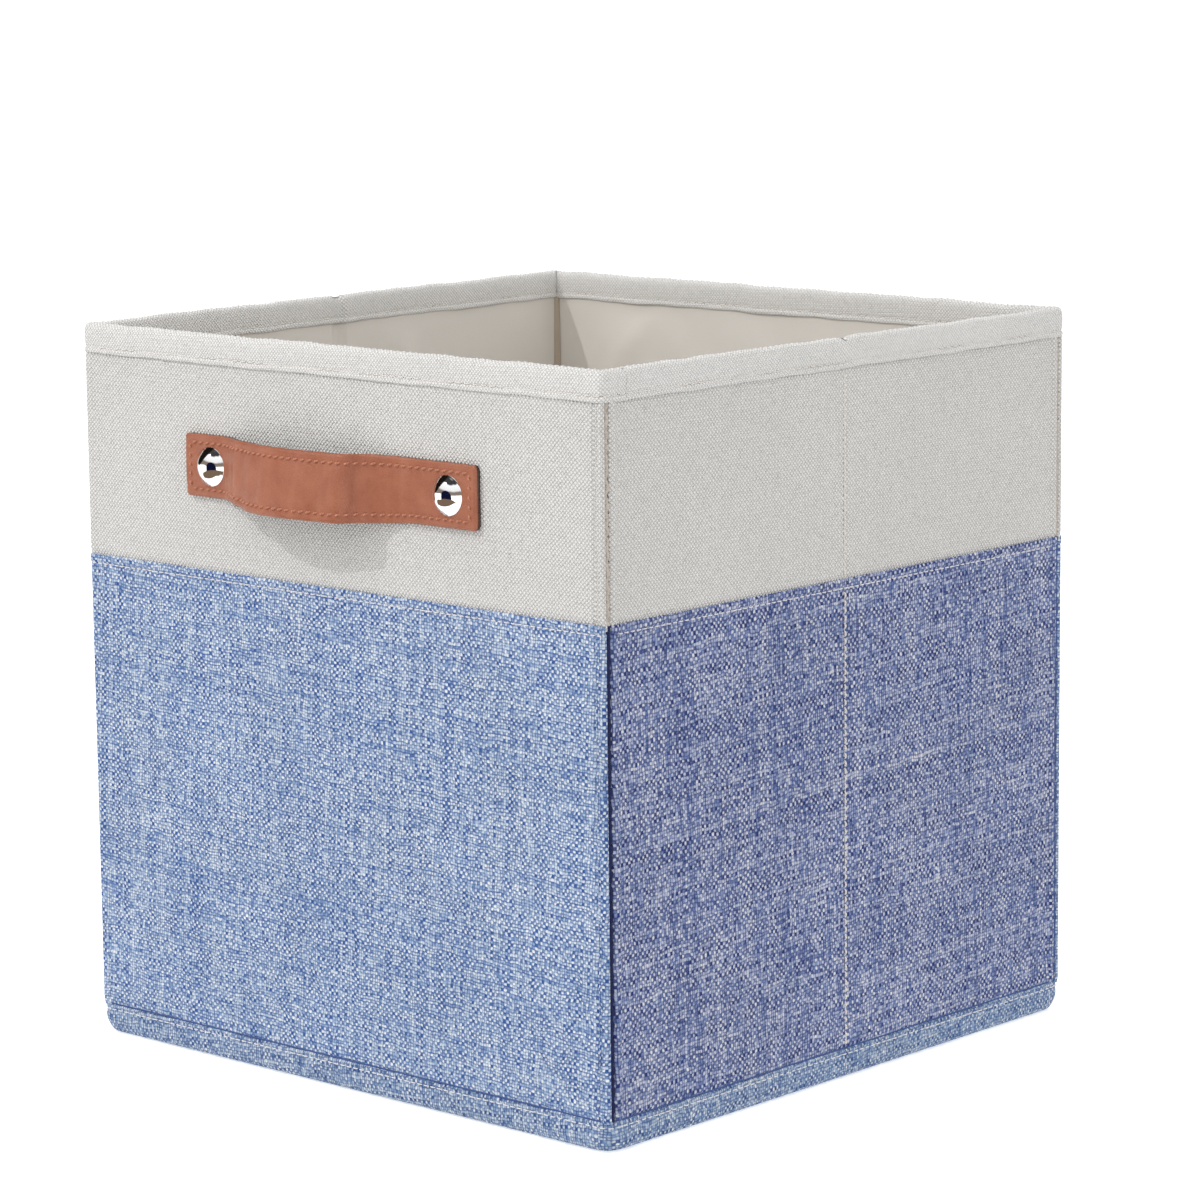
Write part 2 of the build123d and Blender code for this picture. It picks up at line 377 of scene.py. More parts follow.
def plain_weave(n, pitch, turn=0.0, wobble=0.12, uneven=0.5):
    """Thread indices, which thread is on top, and the relief, of a plain weave."""
    u, v = n.uv(turn)
    x, y = u / pitch[0], v / pitch[1]
    drift = n.noise(n.point(x, y), scale=0.16, detail=3.0)
    x = x + (drift - 0.5) * (wobble * 8)
    lift = n.noise(n.point(y, x, 5.0), scale=0.13, detail=3.0)
    y = y + (lift - 0.5) * (wobble * 8)
    i, j = n.math("FLOOR", x), n.math("FLOOR", y)
    a, b = n.math("FRACT", x) - 0.5, n.math("FRACT", y) - 0.5
    weft = n.math("FLOORED_MODULO", i + j, 2.0)

    def thread(across, along):
        return (1.0 - across * across * 3.0) * n.math("COSINE", along * 2.7)

    knot = n.cells(n.point(x, y * 0.8, 7.0), 0.8)
    over, under = thread(a, b), thread(b, a)
    height = over + weft * (under - over) - (knot - 0.45) * uneven
    return {"x": x, "y": y, "i": i, "j": j, "across": b, "weft": weft, "height": height}


def canvas(name, light, shade, pitch, depth, turn=0.0):
    """Coarse off-white woven canvas."""
    n = Nodes(name)
    w = plain_weave(n, pitch, turn, wobble=0.12, uneven=0.35)
    uneven = n.noise(n.point(w["x"], w["y"]), scale=0.45, detail=3.0)
    fibre = n.noise(n.point(w["x"], w["y"], 3.0), scale=5.0, detail=2.0)
    cloud = n.noise(n.point(w["x"], w["y"], 9.0), scale=0.02, detail=2.0)
    height = w["height"] * n.remap(uneven, 0.3, 0.7, 0.70, 1.12) + w["weft"] * w["height"] * 0.45
    middle = tuple(0.5 * (a + b) + 0.4 * (a - b) for a, b in zip(light, shade))
    # The ramp darkens the low places between the threads towards the shade colour: painted shade.
    colour = n.ramp(height * 0.85 + fibre * 0.22, [(0.10, shade), (0.62, middle), (1.0, light)])
    colour = n.mix(n.remap(cloud, 0.35, 0.65, 0.0, 0.10), colour, shade)
    n.bump(height + fibre * 0.25, depth)
    return n.finish(colour, 0.86, sheen=0.15, specular=0.2)


def melange(name, colours, pitch, depth, turn=0.0, bias=(-0.10, 0.12), gain=1.0):
    """Linen-look fabric: blue threads one way, paler ones the other, with slubs in both."""
    dark, middle, pale, white = colours
    n = Nodes(name)
    w = plain_weave(n, pitch, turn, wobble=0.28, uneven=0.9)

    def threads(index, along, seed, offset):
        """Colour of one set of threads: every thread runs through its own streaks."""
        lane = index * 7.31 + seed
        short = n.noise(n.point(lane, along * 0.34), detail=1.0)
        long = n.noise(n.point(lane, along * 0.05, 3.0), detail=1.0)
        value = short * 0.85 + long * 0.45 + (n.random(index + seed) - 0.5) * 0.16
        stops = [(0.25, dark), (0.43, middle), (0.60, pale), (0.80, white)]
        return n.ramp(value + (offset - 0.15), stops)

    warp = threads(w["i"], w["y"], 11.5, bias[0])
    weft = threads(w["j"], w["x"], 47.25, bias[1])
    colour = n.mix(w["weft"], warp, weft)
    fibre = n.noise(n.point(w["x"], w["y"], 3.0), scale=4.0, detail=2.0)
    # Low places between the threads are darkened: painted shade.
    colour = n.mix(n.remap(w["height"], 0.08, 0.62, 0.72, 0.0), colour, darker(dark, 0.8))
    # Open gaps between neighbouring threads, some of them a few centimetres long, painted dark as painted
    # shade.
    row = n.math("FLOOR", w["y"] + 0.5)
    lane = n.noise(n.point(w["x"] * 0.07, row * 5.7, 21.0), detail=1.0)
    gap = n.remap(n.math("ABSOLUTE", w["across"]), 0.24, 0.46)
    colour = n.mix(gap * n.remap(lane, 0.50, 0.64, 0.0, 0.75), colour, dark)
    cloud = n.noise(n.point(w["x"], w["y"], 9.0), scale=0.03, detail=3.0)
    shade = n.remap(fibre, 0.3, 0.7, 0.92, 1.08) * gain * n.remap(cloud, 0.3, 0.7, 0.95, 1.05)
    colour = n.mix(1.0, colour, n.point(shade, shade, shade), "MULTIPLY")
    n.bump(w["height"] + fibre * 0.3, depth)
    return n.finish(colour, 0.88, sheen=0.1, specular=0.15)


def lining_cloth(name, light, shade):
    """Smooth non-woven lining with a faint dimple pattern."""
    n = Nodes(name)
    u, v = n.uv()
    spot = n.point(u / MM, v / MM)
    dimple = n.cells(spot, 1.1)
    fibre = n.noise(spot, scale=2.2, detail=3.0, distortion=0.6)
    cloud = n.noise(spot, scale=0.02, detail=3.0)
    colour = n.mix(n.remap(cloud, 0.3, 0.7, 0.0, 0.6), light, shade)
    colour = n.mix(n.remap(fibre, 0.35, 0.65, 0.10, 0.0), colour, shade)
    n.bump(dimple + fibre, 0.05 * MM, 0.6)
    return n.finish(colour, 0.8, sheen=0.15, specular=0.25)


def leather(name, tone, dark, pale, depth=0.10 * MM):
    """Smooth tan leather: fine grain, soft creases across the strap, darker at its edges."""
    n = Nodes(name)
    u, v = n.uv()
    spot = n.point(u / MM, v / MM)
    grain = n.cells(spot, 1.5, "DISTANCE_TO_EDGE")
    pores = n.noise(spot, scale=2.6, detail=4.0, roughness=0.65)
    streak = n.noise(n.point(u / (7 * MM), v / (60 * MM)), detail=4.0)
    cloud = n.noise(spot, scale=0.12, detail=4.0)
    colour = n.mix(n.remap(cloud, 0.3, 0.7), tone, dark)
    colour = n.mix(n.remap(streak, 0.50, 0.72, 0.0, 0.16), colour, pale)
    colour = n.mix(n.remap(pores, 0.52, 0.70, 0.0, 0.55), colour, pale)
    colour = n.mix(n.remap(pores, 0.30, 0.45, 0.45, 0.0), colour, dark)
    edge = n.math("ABSOLUTE", v / (12.7 * MM))
    colour = n.mix(n.remap(edge, 0.90, 1.02, 0.0, 0.75), colour, dark)
    height = n.remap(grain, 0.0, 0.25, 0.0, 1.0) + pores * 0.8
    n.bump(height + streak * 0.3, depth, 0.5)
    return n.finish(colour, n.remap(pores, 0.3, 0.7, 0.30, 0.46), specular=0.5)


def thread_yarn(name, tone, dark):
    """Twisted sewing thread."""
    n = Nodes(name)
    u, v = n.uv()
    twist = n.math("SINE", u * 5200.0 + v * 6.28)
    colour = n.mix(n.remap(twist, -1.0, 1.0, 0.5, 0.0), tone, dark)
    n.bump(twist, 0.06 * MM, 0.6)
    return n.finish(colour, 0.7, sheen=0.2)


def paperboard(name):
    """Pressed grey-brown board with short fibres."""
    n = Nodes(name)
    fibre = n.noise(n.from_object(), scale=900.0, detail=4.0)
    colour = n.ramp(fibre, [(0.3, linear(148, 134, 112)), (0.7, linear(182, 168, 145))])
    n.bump(fibre, 0.1 * MM)
    return n.finish(colour, 0.9)


def metal(name, tone, rough, brushed=0.0):
    """Plated metal with faint smears, finely scratched where it is brushed."""
    n = Nodes(name)
    where = n.from_object()
    smear = n.noise(where, scale=260.0, detail=3.0)
    fine = n.noise(where, scale=2600.0, detail=2.0)
    colour = n.mix(n.remap(smear, 0.35, 0.7, 0.0, 0.12), tone, darker(tone, 0.8))
    n.bump(fine, 0.02 * MM, brushed)
    return n.finish(colour, n.remap(smear, 0.3, 0.7, rough, rough * 1.6), specular=0.5, metallic=1.0)


def needle_hole_shade(name, tone):
    """A dull, dark colour for needle holes and grooves: painted shade in them."""
    n = Nodes(name)
    speck = n.noise(n.from_object(), scale=1500.0, detail=1.0)
    return n.finish(n.ramp(speck, [(0.3, darker(tone, 0.7)), (0.7, tone)]), 0.95)


CREAM = canvas(
    "cream_canvas", (0.885, 0.872, 0.845), (0.54, 0.52, 0.49), (1.32 * MM, 1.32 * MM), 0.56 * MM, turn=0.80
)
BINDING = canvas(
    "cream_binding", (0.93, 0.922, 0.90), (0.60, 0.58, 0.555), (1.15 * MM, 1.15 * MM), 0.46 * MM, turn=0.75
)
BLUES = ((0.035, 0.10, 0.33), (0.25, 0.36, 0.58), (0.57, 0.66, 0.78), (0.80, 0.84, 0.88))
MELANGE = melange(
    "blue_melange", BLUES, (1.30 * MM, 1.30 * MM), 0.46 * MM, turn=0.05, bias=(-0.09, 0.13), gain=1.08
)
# The side walls' blues are darker than the front's though the fabric is the same: painted shade for the less
# light that the side faces get. Their weave is also turned crosswise.
SHADED_SIDE_BLUES = ((0.016, 0.034, 0.17), (0.16, 0.22, 0.44), (0.48, 0.52, 0.68), (0.74, 0.75, 0.80))
SHADED_SIDE_MELANGE = melange(
    "blue_melange_crosswise_shaded", SHADED_SIDE_BLUES, (1.42 * MM, 1.36 * MM), 0.46 * MM,
    turn=1.52, bias=(-0.09, 0.10), gain=1.06,
)
HEM_BLUES = ((0.035, 0.085, 0.27), (0.20, 0.31, 0.53), (0.49, 0.59, 0.73), (0.78, 0.82, 0.88))
HEM = melange("blue_hem", HEM_BLUES, (1.30 * MM, 1.20 * MM), 0.45 * MM, turn=1.62, bias=(-0.06, 0.10))
PALE = lining_cloth("pale_lining", (0.72, 0.685, 0.635), (0.65, 0.615, 0.565))
# Dark brown cloth for the inside corner folds: painted shade of the corners.
SHADED_CORNER_FOLD = lining_cloth("corner_fold_shade", (0.46, 0.38, 0.30), (0.36, 0.28, 0.21))
TAN = leather("tan_leather", linear(172, 104, 75), linear(156, 88, 60), linear(198, 138, 112))
DARK = leather("dark_leather", linear(74, 48, 42), linear(44, 28, 26), linear(110, 76, 64))
THREAD = thread_yarn("cream_thread", linear(236, 232, 226), linear(190, 178, 166))
SEAM_THREAD = thread_yarn("seam_thread", linear(238, 236, 238), linear(188, 190, 204))
TAN_THREAD = thread_yarn("tan_thread", linear(206, 140, 112), linear(140, 76, 54))
BOARD = paperboard("grey_paperboard")
CHROME = metal("mirror_rivet", (0.93, 0.93, 0.94), 0.03)
STEEL = metal("rivet_steel", (0.60, 0.60, 0.61), 0.28, 0.5)
# Dark needle holes: painted shade in the holes.
CREAM_HOLE = needle_hole_shade("cream_needle_hole", linear(120, 104, 82))
TAN_HOLE = needle_hole_shade("tan_needle_hole", linear(96, 46, 28))
# Dark cords in the grooves at the corners and above the hem: painted shade of the grooves.
GROOVE = needle_hole_shade("groove_shade", linear(36, 42, 84))
HEM_GROOVE = needle_hole_shade("hem_groove_shade", linear(78, 100, 156))
CREAM_GROOVE = needle_hole_shade("cream_groove_shade", linear(206, 196, 186))


# ---- where pieces go ----------------------------------------------------------------------------
def place(wall, s, h, z):
    """Points on a wall, from the distance along it, the distance out from the middle and the height."""
    s, h, z = np.broadcast_arrays(np.asarray(s, float), h, z)
    t, o = ALONG[wall], OUTWARD[wall]
    return np.stack([t[0] * s + o[0] * h, t[1] * s + o[1] * h, z], axis=-1)


def wall_offset(wall):
    """Where a wall starts along the fabric, so that its weave differs from the next wall's."""
    return RING.index(wall) * 0.3


def ripple(wall, s, z, size=1.0):
    """Slight unevenness of a wall's fabric, smooth across its pieces."""
    draw = np.random.default_rng(RING.index(wall) + 21)
    total = 0
    for wave in range(7):
        ks = draw.uniform(-1, 1) * 2 * math.pi / (55 * MM)
        kz = draw.uniform(-1, 1) * 2 * math.pi / (90 * MM)
        total = total + np.sin(ks * s + kz * z + draw.uniform(0, 2 * math.pi))
    return total * 0.045 * MM * size


def sections(wall, reach):
    """The wall's stretches: name, range of s, and how it moves."""
    if wall not in CREASED:
        return [(wall, -reach, reach, None)]
    low, high = ENDS[wall]
    return [
        (low, -reach, -CREASE_HALF, None),
        (wall + "_crease", -CREASE_HALF, CREASE_HALF, (low, high)),
        (high, CREASE_HALF, reach, None),
    ]


def board_under(body):
    """The name of the board that a body's fabrics are stretched over."""
    return body + ("_board" if body in RING else "_paperboard")


def corner_after(wall):
    """The next wall round the bin, and the outward directions of this wall and of that one."""
    following = RING[(RING.index(wall) + 1) % 4]
    return following, np.array(OUTWARD[wall], float), np.array(OUTWARD[following], float)


def crease_ease(s):
    """How much of a crease's dip there is at distances from the middle of a creased wall."""
    return smooth_step(CREASE_HALF - np.abs(s), 0, CREASE_EASE)


def attach(piece, wall, body, pair=None):
    """Lets a piece ride on its body; a piece at the crease of its wall has its transform baked into its mesh
    instead.
    """
    if pair is None:
        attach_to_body(piece, body)
        return
    middle = (FOOT + TOP) / 2
    start = place(wall, -CREASE_HALF, OUT, middle)
    end = place(wall, CREASE_HALF, OUT, middle)
    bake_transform(piece)


# ---- outer fabric -------------------------------------------------------------------------------
ROLL_R = 1.3 * MM  # rolled edge of a full-width wall at its corner
EDGE_STRIP = 4.8 * MM  # width of the strip beside that edge
SIDE_ROLL_R = 1.5 * MM
GROOVE_AT = 3.9 * MM  # from the front wall's face to the middle of the corner groove


def arc(centre, radius, low, high, count):
    angles = np.radians(np.linspace(low, high, count))
    return np.stack([centre[0] + radius * np.cos(angles), centre[1] + radius * np.sin(angles)], axis=1)


def full_wall_end():
    """Plan of the rolled edge at the high end of a full-width wall: points (s, h), inwards to outwards."""
    centre = (OUT - ROLL_R, OUT + 0.25 * MM - ROLL_R)
    turn = arc(centre, ROLL_R, -62, 88, 12)
    tucked = [(OUT - 2.4 * MM, OUT - 2.35 * MM), (OUT - 1.5 * MM, OUT - 2.3 * MM)]
    return np.concatenate([tucked, turn])


def side_wall_end():
    """Plan of the rolled edge at the high end of a side wall."""
    at = OUT - GROOVE_AT
    centre = (at - SIDE_ROLL_R, OUT + 0.75 * MM - SIDE_ROLL_R)
    turn = arc(centre, SIDE_ROLL_R, -35, 88, 9)
    tucked = [(at - 2.0 * MM, OUT - 1.9 * MM), (at - 0.9 * MM, OUT - 1.8 * MM)]
    return np.concatenate([tucked, turn])


def plan_of(wall):
    """Plan of a wall's outer fabric from its low end to its high end: points (s, h)."""
    end = side_wall_end() if wall in CREASED else full_wall_end()
    flat_end = end[-1, 0]
    inner = flat_end - 9 * MM
    fine = np.linspace(flat_end, inner, 24)[1:-1]
    coarse = np.linspace(inner, -inner, 73)
    s = np.concatenate([fine, coarse, -fine[::-1]])
    if wall in CREASED:
        near = np.linspace(-CREASE_HALF, CREASE_HALF, 21)
        s = np.unique(np.concatenate([s[np.abs(s) > CREASE_HALF * 1.05], near]))[::-1]
    edge = flat_end - np.abs(s)
    if wall in CREASED:
        raised = 0.75 * MM * (1 - smooth_step(edge, 1.0 * MM, 3.2 * MM))
        crease = -0.22 * MM * hump(s, 0, 0.7 * MM)
        h = OUT + raised + crease
    else:
        strip = EDGE_STRIP - ROLL_R
        raised = 0.25 * MM * (1 - smooth_step(edge, strip * 0.75, strip * 0.98))
        near = s > 0
        ribs = 0.20 * MM * np.cos(edge * 2 * math.pi / (1.25 * MM)) * (edge < strip * 0.9) * near
        h = OUT + raised + ribs - 0.50 * MM * hump(edge, strip, 0.5 * MM) * near
    flat = np.stack([s, h], axis=1)
    path = np.concatenate([end, flat, end[::-1] * (-1, 1)])
    return path[::-1]


def outer_panel(wall, kind, z, profile, material, nodes):
    """One fabric panel of a wall, in stretches: its plan times a profile of set-backs up the wall."""
    plan = plan_of(wall)
    length = path_length(plan)
    for body, low, high, pair in sections(wall, OUT + MM):
        keep = (plan[:, 0] >= low - 1e-7) & (plan[:, 0] <= high + 1e-7)
        s, h, u = plan[keep, 0], plan[keep, 1], length[keep]
        outward = smooth_step(OUT - np.abs(s), 0.2 * MM, 6 * MM)
        rise = profile[None, :] + outward[:, None] * ripple(wall, s[:, None], z[None, :])
        points = place(wall, s[:, None], h[:, None] + rise, z[None, :])
        uv = spread(u[:, None] + wall_offset(wall), z[None, :])
        toward = (*OUTWARD[wall], 0)
        piece = shell(body + "_" + kind + "_cloth", points, uv, FABRIC_T, material, toward)
        if pair is None:
            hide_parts(body + nodes)
        attach(piece, wall, body, pair)
        if pair is None:
            board_under(body)


def blue_profile(z):
    """Set-back of the blue fabric: tucked behind the hem, stitched down and folded over at its top."""
    tuck = -0.6 * MM * (1 - smooth_step(z, FOOT - 0.5 * MM, FOOT + 2.0 * MM))
    lap = 0.45 * MM * smooth_step(z, SEAM - 3.6 * MM, SEAM - 2.9 * MM)
    roll = -0.35 * MM * smooth_step(z, SEAM - 0.5 * MM, SEAM + 0.15 * MM)
    stitch = -0.22 * MM * hump(z, SEAM - 3.6 * MM, 0.5 * MM)
    return tuck + lap + roll + stitch


def cream_profile(z):
    """Set-back of the cream fabric: behind the blue edge below, under the binding above."""
    low = -0.55 * MM * (1 - smooth_step(z, SEAM - 0.2 * MM, SEAM + 2.4 * MM))
    high = -0.15 * MM * smooth_step(z, BAND - 2.4 * MM, BAND - 0.2 * MM)
    return low + high


# ---- rim binding and hem, swept round the bin ---------------------------------------------------
def straight(wall, low, high, step):
    """Stations along a wall: where each is, its outward direction, and where it is along the cloth."""
    s = np.linspace(low, high, max(3, int(math.ceil((high - low) / step)) + 1))
    base = np.outer(s, ALONG[wall])
    direction = np.tile(np.array(OUTWARD[wall], float), (len(s), 1))
    crease = s if wall in CREASED else np.full(len(s), 1.0)
    return {"base": base, "dir": direction, "u": s + wall_offset(wall), "crease": crease}


def corner(wall, pivot, low, high, count, power=3.2, radius=5.2 * MM):
    """Stations round the corner at the high end of a wall, between two shares of its quarter turn."""
    _, first, second = corner_after(wall)
    angle = np.linspace(low, high, count) * math.pi / 2
    c, s = np.cos(angle)[:, None], np.sin(angle)[:, None]
    reach = (np.abs(c) ** power + np.abs(s) ** power) ** (-1 / power)
    direction = (c * first + s * second) * reach
    base = (first + second) * pivot - direction * pivot
    u = wall_offset(wall) + pivot + angle * radius
    return {"base": base, "dir": direction, "u": u, "crease": np.full(count, 1.0)}


def joined(*parts):
    """Several runs of stations as one, without the doubled stations where they meet."""
    out = {}
    for key in parts[0]:
        rows = [parts[0][key]] + [p[key][1:] for p in parts[1:]]
        out[key] = np.concatenate(rows)
    runs = [part["u"] - part["u"][0] for part in parts]
    starts = np.concatenate([[0], np.cumsum([run[-1] for run in runs])])
    shifted = [run + start for run, start in zip(runs, starts)]
    out["u"] = parts[0]["u"][0] + np.concatenate([shifted[0]] + [run[1:] for run in shifted[1:]])
    return out


def swept(stations, h, z):
    """Points of a closed outline carried along stations. h and z are rows of distances and heights."""
    flat = stations["base"][:, None, :] + stations["dir"][:, None, :] * h[:, :, None]
    return np.concatenate([flat, z[:, :, None]], axis=2)


def outline_uv(stations, h, z):
    """UVs of a swept outline: along the cloth, and round the mean outline."""
    step = np.hypot(np.diff(h.mean(axis=0)), np.diff(z.mean(axis=0)))
    across = np.concatenate([[0], np.cumsum(step)])
    return spread(stations["u"][:, None], across[None, :])


def sewn_slack(u, seed, lengths):
    """Slow waves of a loosely sewn band, with a fixed draw of phases."""
    draw = np.random.default_rng(seed)
    return sum(wave(u, k, draw.uniform(0, 6)) for k in lengths)


# The binding's outline from its outer lower edge over the top to its inner lower edge: (h, z) in
# millimetres from the inside of the binding and from its lower edge.
BINDING_SHAPE = [
    (4.45, 0.25), (4.95, -0.05), (5.22, 0.35), (5.30, 1.05), (5.16, 1.75), (4.78, 2.35), (5.04, 3.3),
    (5.20, 6.0), (5.14, 8.8), (4.72, 10.9), (3.75, 11.85), (2.60, 12.05), (1.45, 11.85), (0.50, 10.9),
    (0.08, 8.8), (0.05, 6.0), (0.18, 3.3), (0.44, 2.35), (0.02, 1.75), (-0.12, 1.05), (-0.02, 0.35),
    (0.35, -0.05), (0.95, 0.25),
]


BINDING_MIDDLE = 2.6 * MM  # from the inside of the binding to the middle of its thickness


def binding_outline(stations):
    """Distances and heights of the binding at each station: bumps of the weave on top, slack below."""
    shape = refine(BINDING_SHAPE, 3)
    inside = np.array([(0.95, 9.6), (4.45, 9.6)])
    loop = np.concatenate([shape, inside]) * MM
    u = stations["u"][:, None]
    crest = smooth_step(loop[None, :, 1], 9.5 * MM, 12 * MM)
    slack = sewn_slack(u, 5, (23, 41, 67, 109))
    bumps = wave(u, 3.2) * (0.7 + 0.3 * wave(u, 19))
    notch = hump(stations["crease"][:, None], 0, 1.5 * MM)
    fringe = wave(u, 2.1, 2 * wave(u, 13))
    ridge = hump(loop[None, :, 1], 1.1 * MM, 1.0 * MM)
    z = loop[None, :, 1] + BAND + crest * (0.34 * MM * bumps - 0.9 * MM * notch) + 0.10 * MM * slack
    outer = np.sign(loop[None, :, 0] - BINDING_MIDDLE)
    h = loop[None, :, 0] + RIM_IN + outer * ridge * 0.07 * MM * fringe
    h = h + 0.05 * MM * slack - outer * 0.45 * MM * notch * crest
    h = h + RIM_PINCH * crease_pinch(stations) * (loop[None, :, 0] < BINDING_MIDDLE)
    return h, z


# The hem's outline in millimetres: h from its pivot, z from the floor.
HEM_PIVOT = OUT - 11 * MM
HEM_SHAPE = [
    (9.3, 12.1), (10.6, 12.15), (11.25, 11.7), (11.42, 10.9), (11.22, 10.1), (11.42, 9.0), (11.5, 6.5),
    (11.42, 3.8), (11.0, 1.8), (10.2, 0.7), (9.1, 0.32), (8.2, 0.32),
]


HEM_PINCHED = 9.8 * MM  # from the pivot to the hem's inner face at a crease


def hem_outline(stations):
    """Distances and heights of the hem at each station, with a little slack on its free face."""
    shape = refine(HEM_SHAPE, 3)
    loop = np.concatenate([shape, [(8.2, 6.0), (8.3, 12.1)]]) * MM
    u = stations["u"][:, None]
    slack = sewn_slack(u, 9, (17, 31, 53, 97))
    free = smooth_step(loop[None, :, 0], 9.5 * MM, 11 * MM)
    # At a crease the hidden inner face stays behind the lining, which is sewn back there.
    spare = np.maximum(HEM_PINCHED - loop[None, :, 0], 0) * (loop[None, :, 1] > 5 * MM)
    h = loop[None, :, 0] + HEM_PIVOT + free * 0.07 * MM * slack + spare * crease_pinch(stations)
    z = loop[None, :, 1] + free * 0.06 * MM * slack * smooth_step(loop[None, :, 1], 5 * MM, 11 * MM)
    return h, np.broadcast_to(z, h.shape)


# ---- stitches -----------------------------------------------------------------------------------
class Stitches:
    """Rows of thread stitches, gathered into one mesh for the thread and one for its needle holes."""

    SIDES, RINGS, HOLE_SIDES = 6, 7, 8
    HOLE_LEVELS = ((-0.5, 0.8), (-0.35, 1.0), (-0.15, 0.55))  # height and width of its rings, in radii

    def __init__(self):
        self.points, self.faces, self.uv = [], [], []
        self.hole_points, self.hole_faces, self.hole_uv = [], [], []

    def row(self, line, normal, pitch, length, radius, arch=0.5, slant=0.0, holes=0.95):
        """Stitches along a line of points. slant leans each stitch across the line."""
        line, normal = np.asarray(line, float), np.asarray(normal, float)
        along = path_length(line)
        count = max(1, int(round(along[-1] / pitch)))
        pitch = along[-1] / count
        for k in range(count):
            middle = (k + 0.5) * pitch
            at = np.linspace(middle - length / 2, middle + length / 2, self.RINGS)
            spine = read_off(at, along, line)
            up = unit(read_off(at, along, normal))
            run = unit(np.gradient(spine, axis=0))
            across = np.cross(up, run)
            t = np.linspace(-1, 1, self.RINGS)
            spine = spine + across * (t * slant * length / 2)[:, None]
            dome = np.cos(t * math.pi / 2)
            spine = spine + up * ((dome * (1 + arch) - 0.75) * radius)[:, None]
            width = radius * np.maximum(dome, 0.02) ** 0.35
            self._tube(spine, up, across, width, along=at)
            if holes:
                for end in (0, -1):
                    self._hole(spine[end] + up[end] * radius * 0.55, up[end], run[end], radius * holes)

    def _tube(self, spine, up, across, width, along):
        start = len(self.points)
        for i in range(self.RINGS):
            for j in range(self.SIDES):
                angle = 2 * math.pi * j / self.SIDES
                ray = across[i] * math.cos(angle) + up[i] * math.sin(angle)
                self.points.append(spine[i] + ray * width[i])
                self.uv.append((along[i], j / self.SIDES))
        self.faces += capped_faces(self.RINGS, self.SIDES, start=start)

    def _hole(self, centre, up, run, radius):
        """A flat dark dimple, a little longer along the row: painted shade of a needle hole."""
        across = np.cross(up, run)
        start = len(self.hole_points)
        for level, share in self.HOLE_LEVELS:
            for j in range(self.HOLE_SIDES):
                angle = 2 * math.pi * j / self.HOLE_SIDES
                ray = run * math.cos(angle) * 1.1 + across * math.sin(angle)
                self.hole_points.append(centre + ray * radius * share + up * radius * level)
                self.hole_uv.append((math.cos(angle) * MM, math.sin(angle) * MM))
        self.hole_faces += capped_faces(len(self.HOLE_LEVELS), self.HOLE_SIDES, start=start)

    def build(self, name, thread, hole=None):
        """The pieces of this set: the thread, and its holes if it has any."""
        made = [new_mesh(name, self.points, self.faces, self.uv, thread)]
        if hole is not None and self.hole_points:
            made.append(new_mesh(name + "_holes", self.hole_points, self.hole_faces, self.hole_uv, hole))
        return made


def crease_pinch(stations):
    """How much of the crease's dip a station has."""
    return crease_ease(stations["crease"])[:, None]


def stitch_swept(stations, h, z, outward, name, material, hole, **shape):
    """A row of stitches that follows stations at a distance and a height. Returns its pieces."""
    count = len(stations["base"])
    line = swept(stations, np.broadcast_to(h, (count, 1)), np.full((count, 1), z))[:, 0]
    normal = np.concatenate([unit(stations["dir"]) * outward, np.zeros((count, 1))], axis=1)
    rows = Stitches()
    rows.row(line, normal, **shape)
    return rows.build(name, material, hole)


RIM_STITCH_UP = 2.45 * MM  # from the binding's lower edge to its stitches
RIM_STITCH_OUT = 4.90 * MM  # from the inside of the binding to the outer row
RIM_STITCH_IN = 0.34 * MM  # the same to the inner row
SEAM_STITCH_DOWN = 3.7 * MM  # from the blue fabric's upper edge to its stitches
HEM_STITCH_Z = 10.05 * MM
RIM_STITCH = {"pitch": 4.4 * MM, "length": 3.3 * MM, "radius": 0.30 * MM, "arch": 0.2}
SEAM_STITCH = {"pitch": 3.4 * MM, "length": 2.8 * MM, "radius": 0.32 * MM, "arch": 0.4}


def rim_pieces():
    """The binding over the rim with its two rows of stitches, straight and round the corners."""
    run = RIM_IN - CORNER_RUN
    for k, wall in enumerate(RING):
        for body, low, high, pair in sections(wall, run):
            stations = straight(wall, low, high, 0.8 * MM)
            rim_part(stations, body, lambda p, w=wall, b=body, q=pair: attach(p, w, b, q), pair is None)
        following = RING[(k + 1) % 4]
        first, second = ENDS[wall][1], ENDS[following][0]
        name = wall + "_" + following + "_corner"
        before = straight(wall, run, RIM_IN, 0.8 * MM)
        after = straight(following, -RIM_IN, -run, 0.8 * MM)
        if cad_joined(first, second):
            stations = joined(before, corner(wall, RIM_IN, 0, 1, 17), after)
            rim_part(stations, name, lambda p, w=wall, a=first, b=second: bend_corner(p, w), False)
        else:
            half = joined(before, corner(wall, RIM_IN, 0, 0.5, 9))
            rim_part(half, name + "_" + first, lambda p, b=first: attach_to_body(p, b), False)
            half = joined(corner(wall, RIM_IN, 0.5, 1, 9), after)
            rim_part(half, name + "_" + second, lambda p, b=second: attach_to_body(p, b), False)


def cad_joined(a, b):
    """True if one joint joins the two bodies."""
    return any({a, b} == {j["parent"], j["child"]} for j in frame["joints"])


def bend_corner(piece, wall):
    """Bakes a piece's transform into its mesh; the piece is one that goes round the corner fold at the high
    end of a wall.
    """
    following, a, b = corner_after(wall)
    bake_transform(piece)


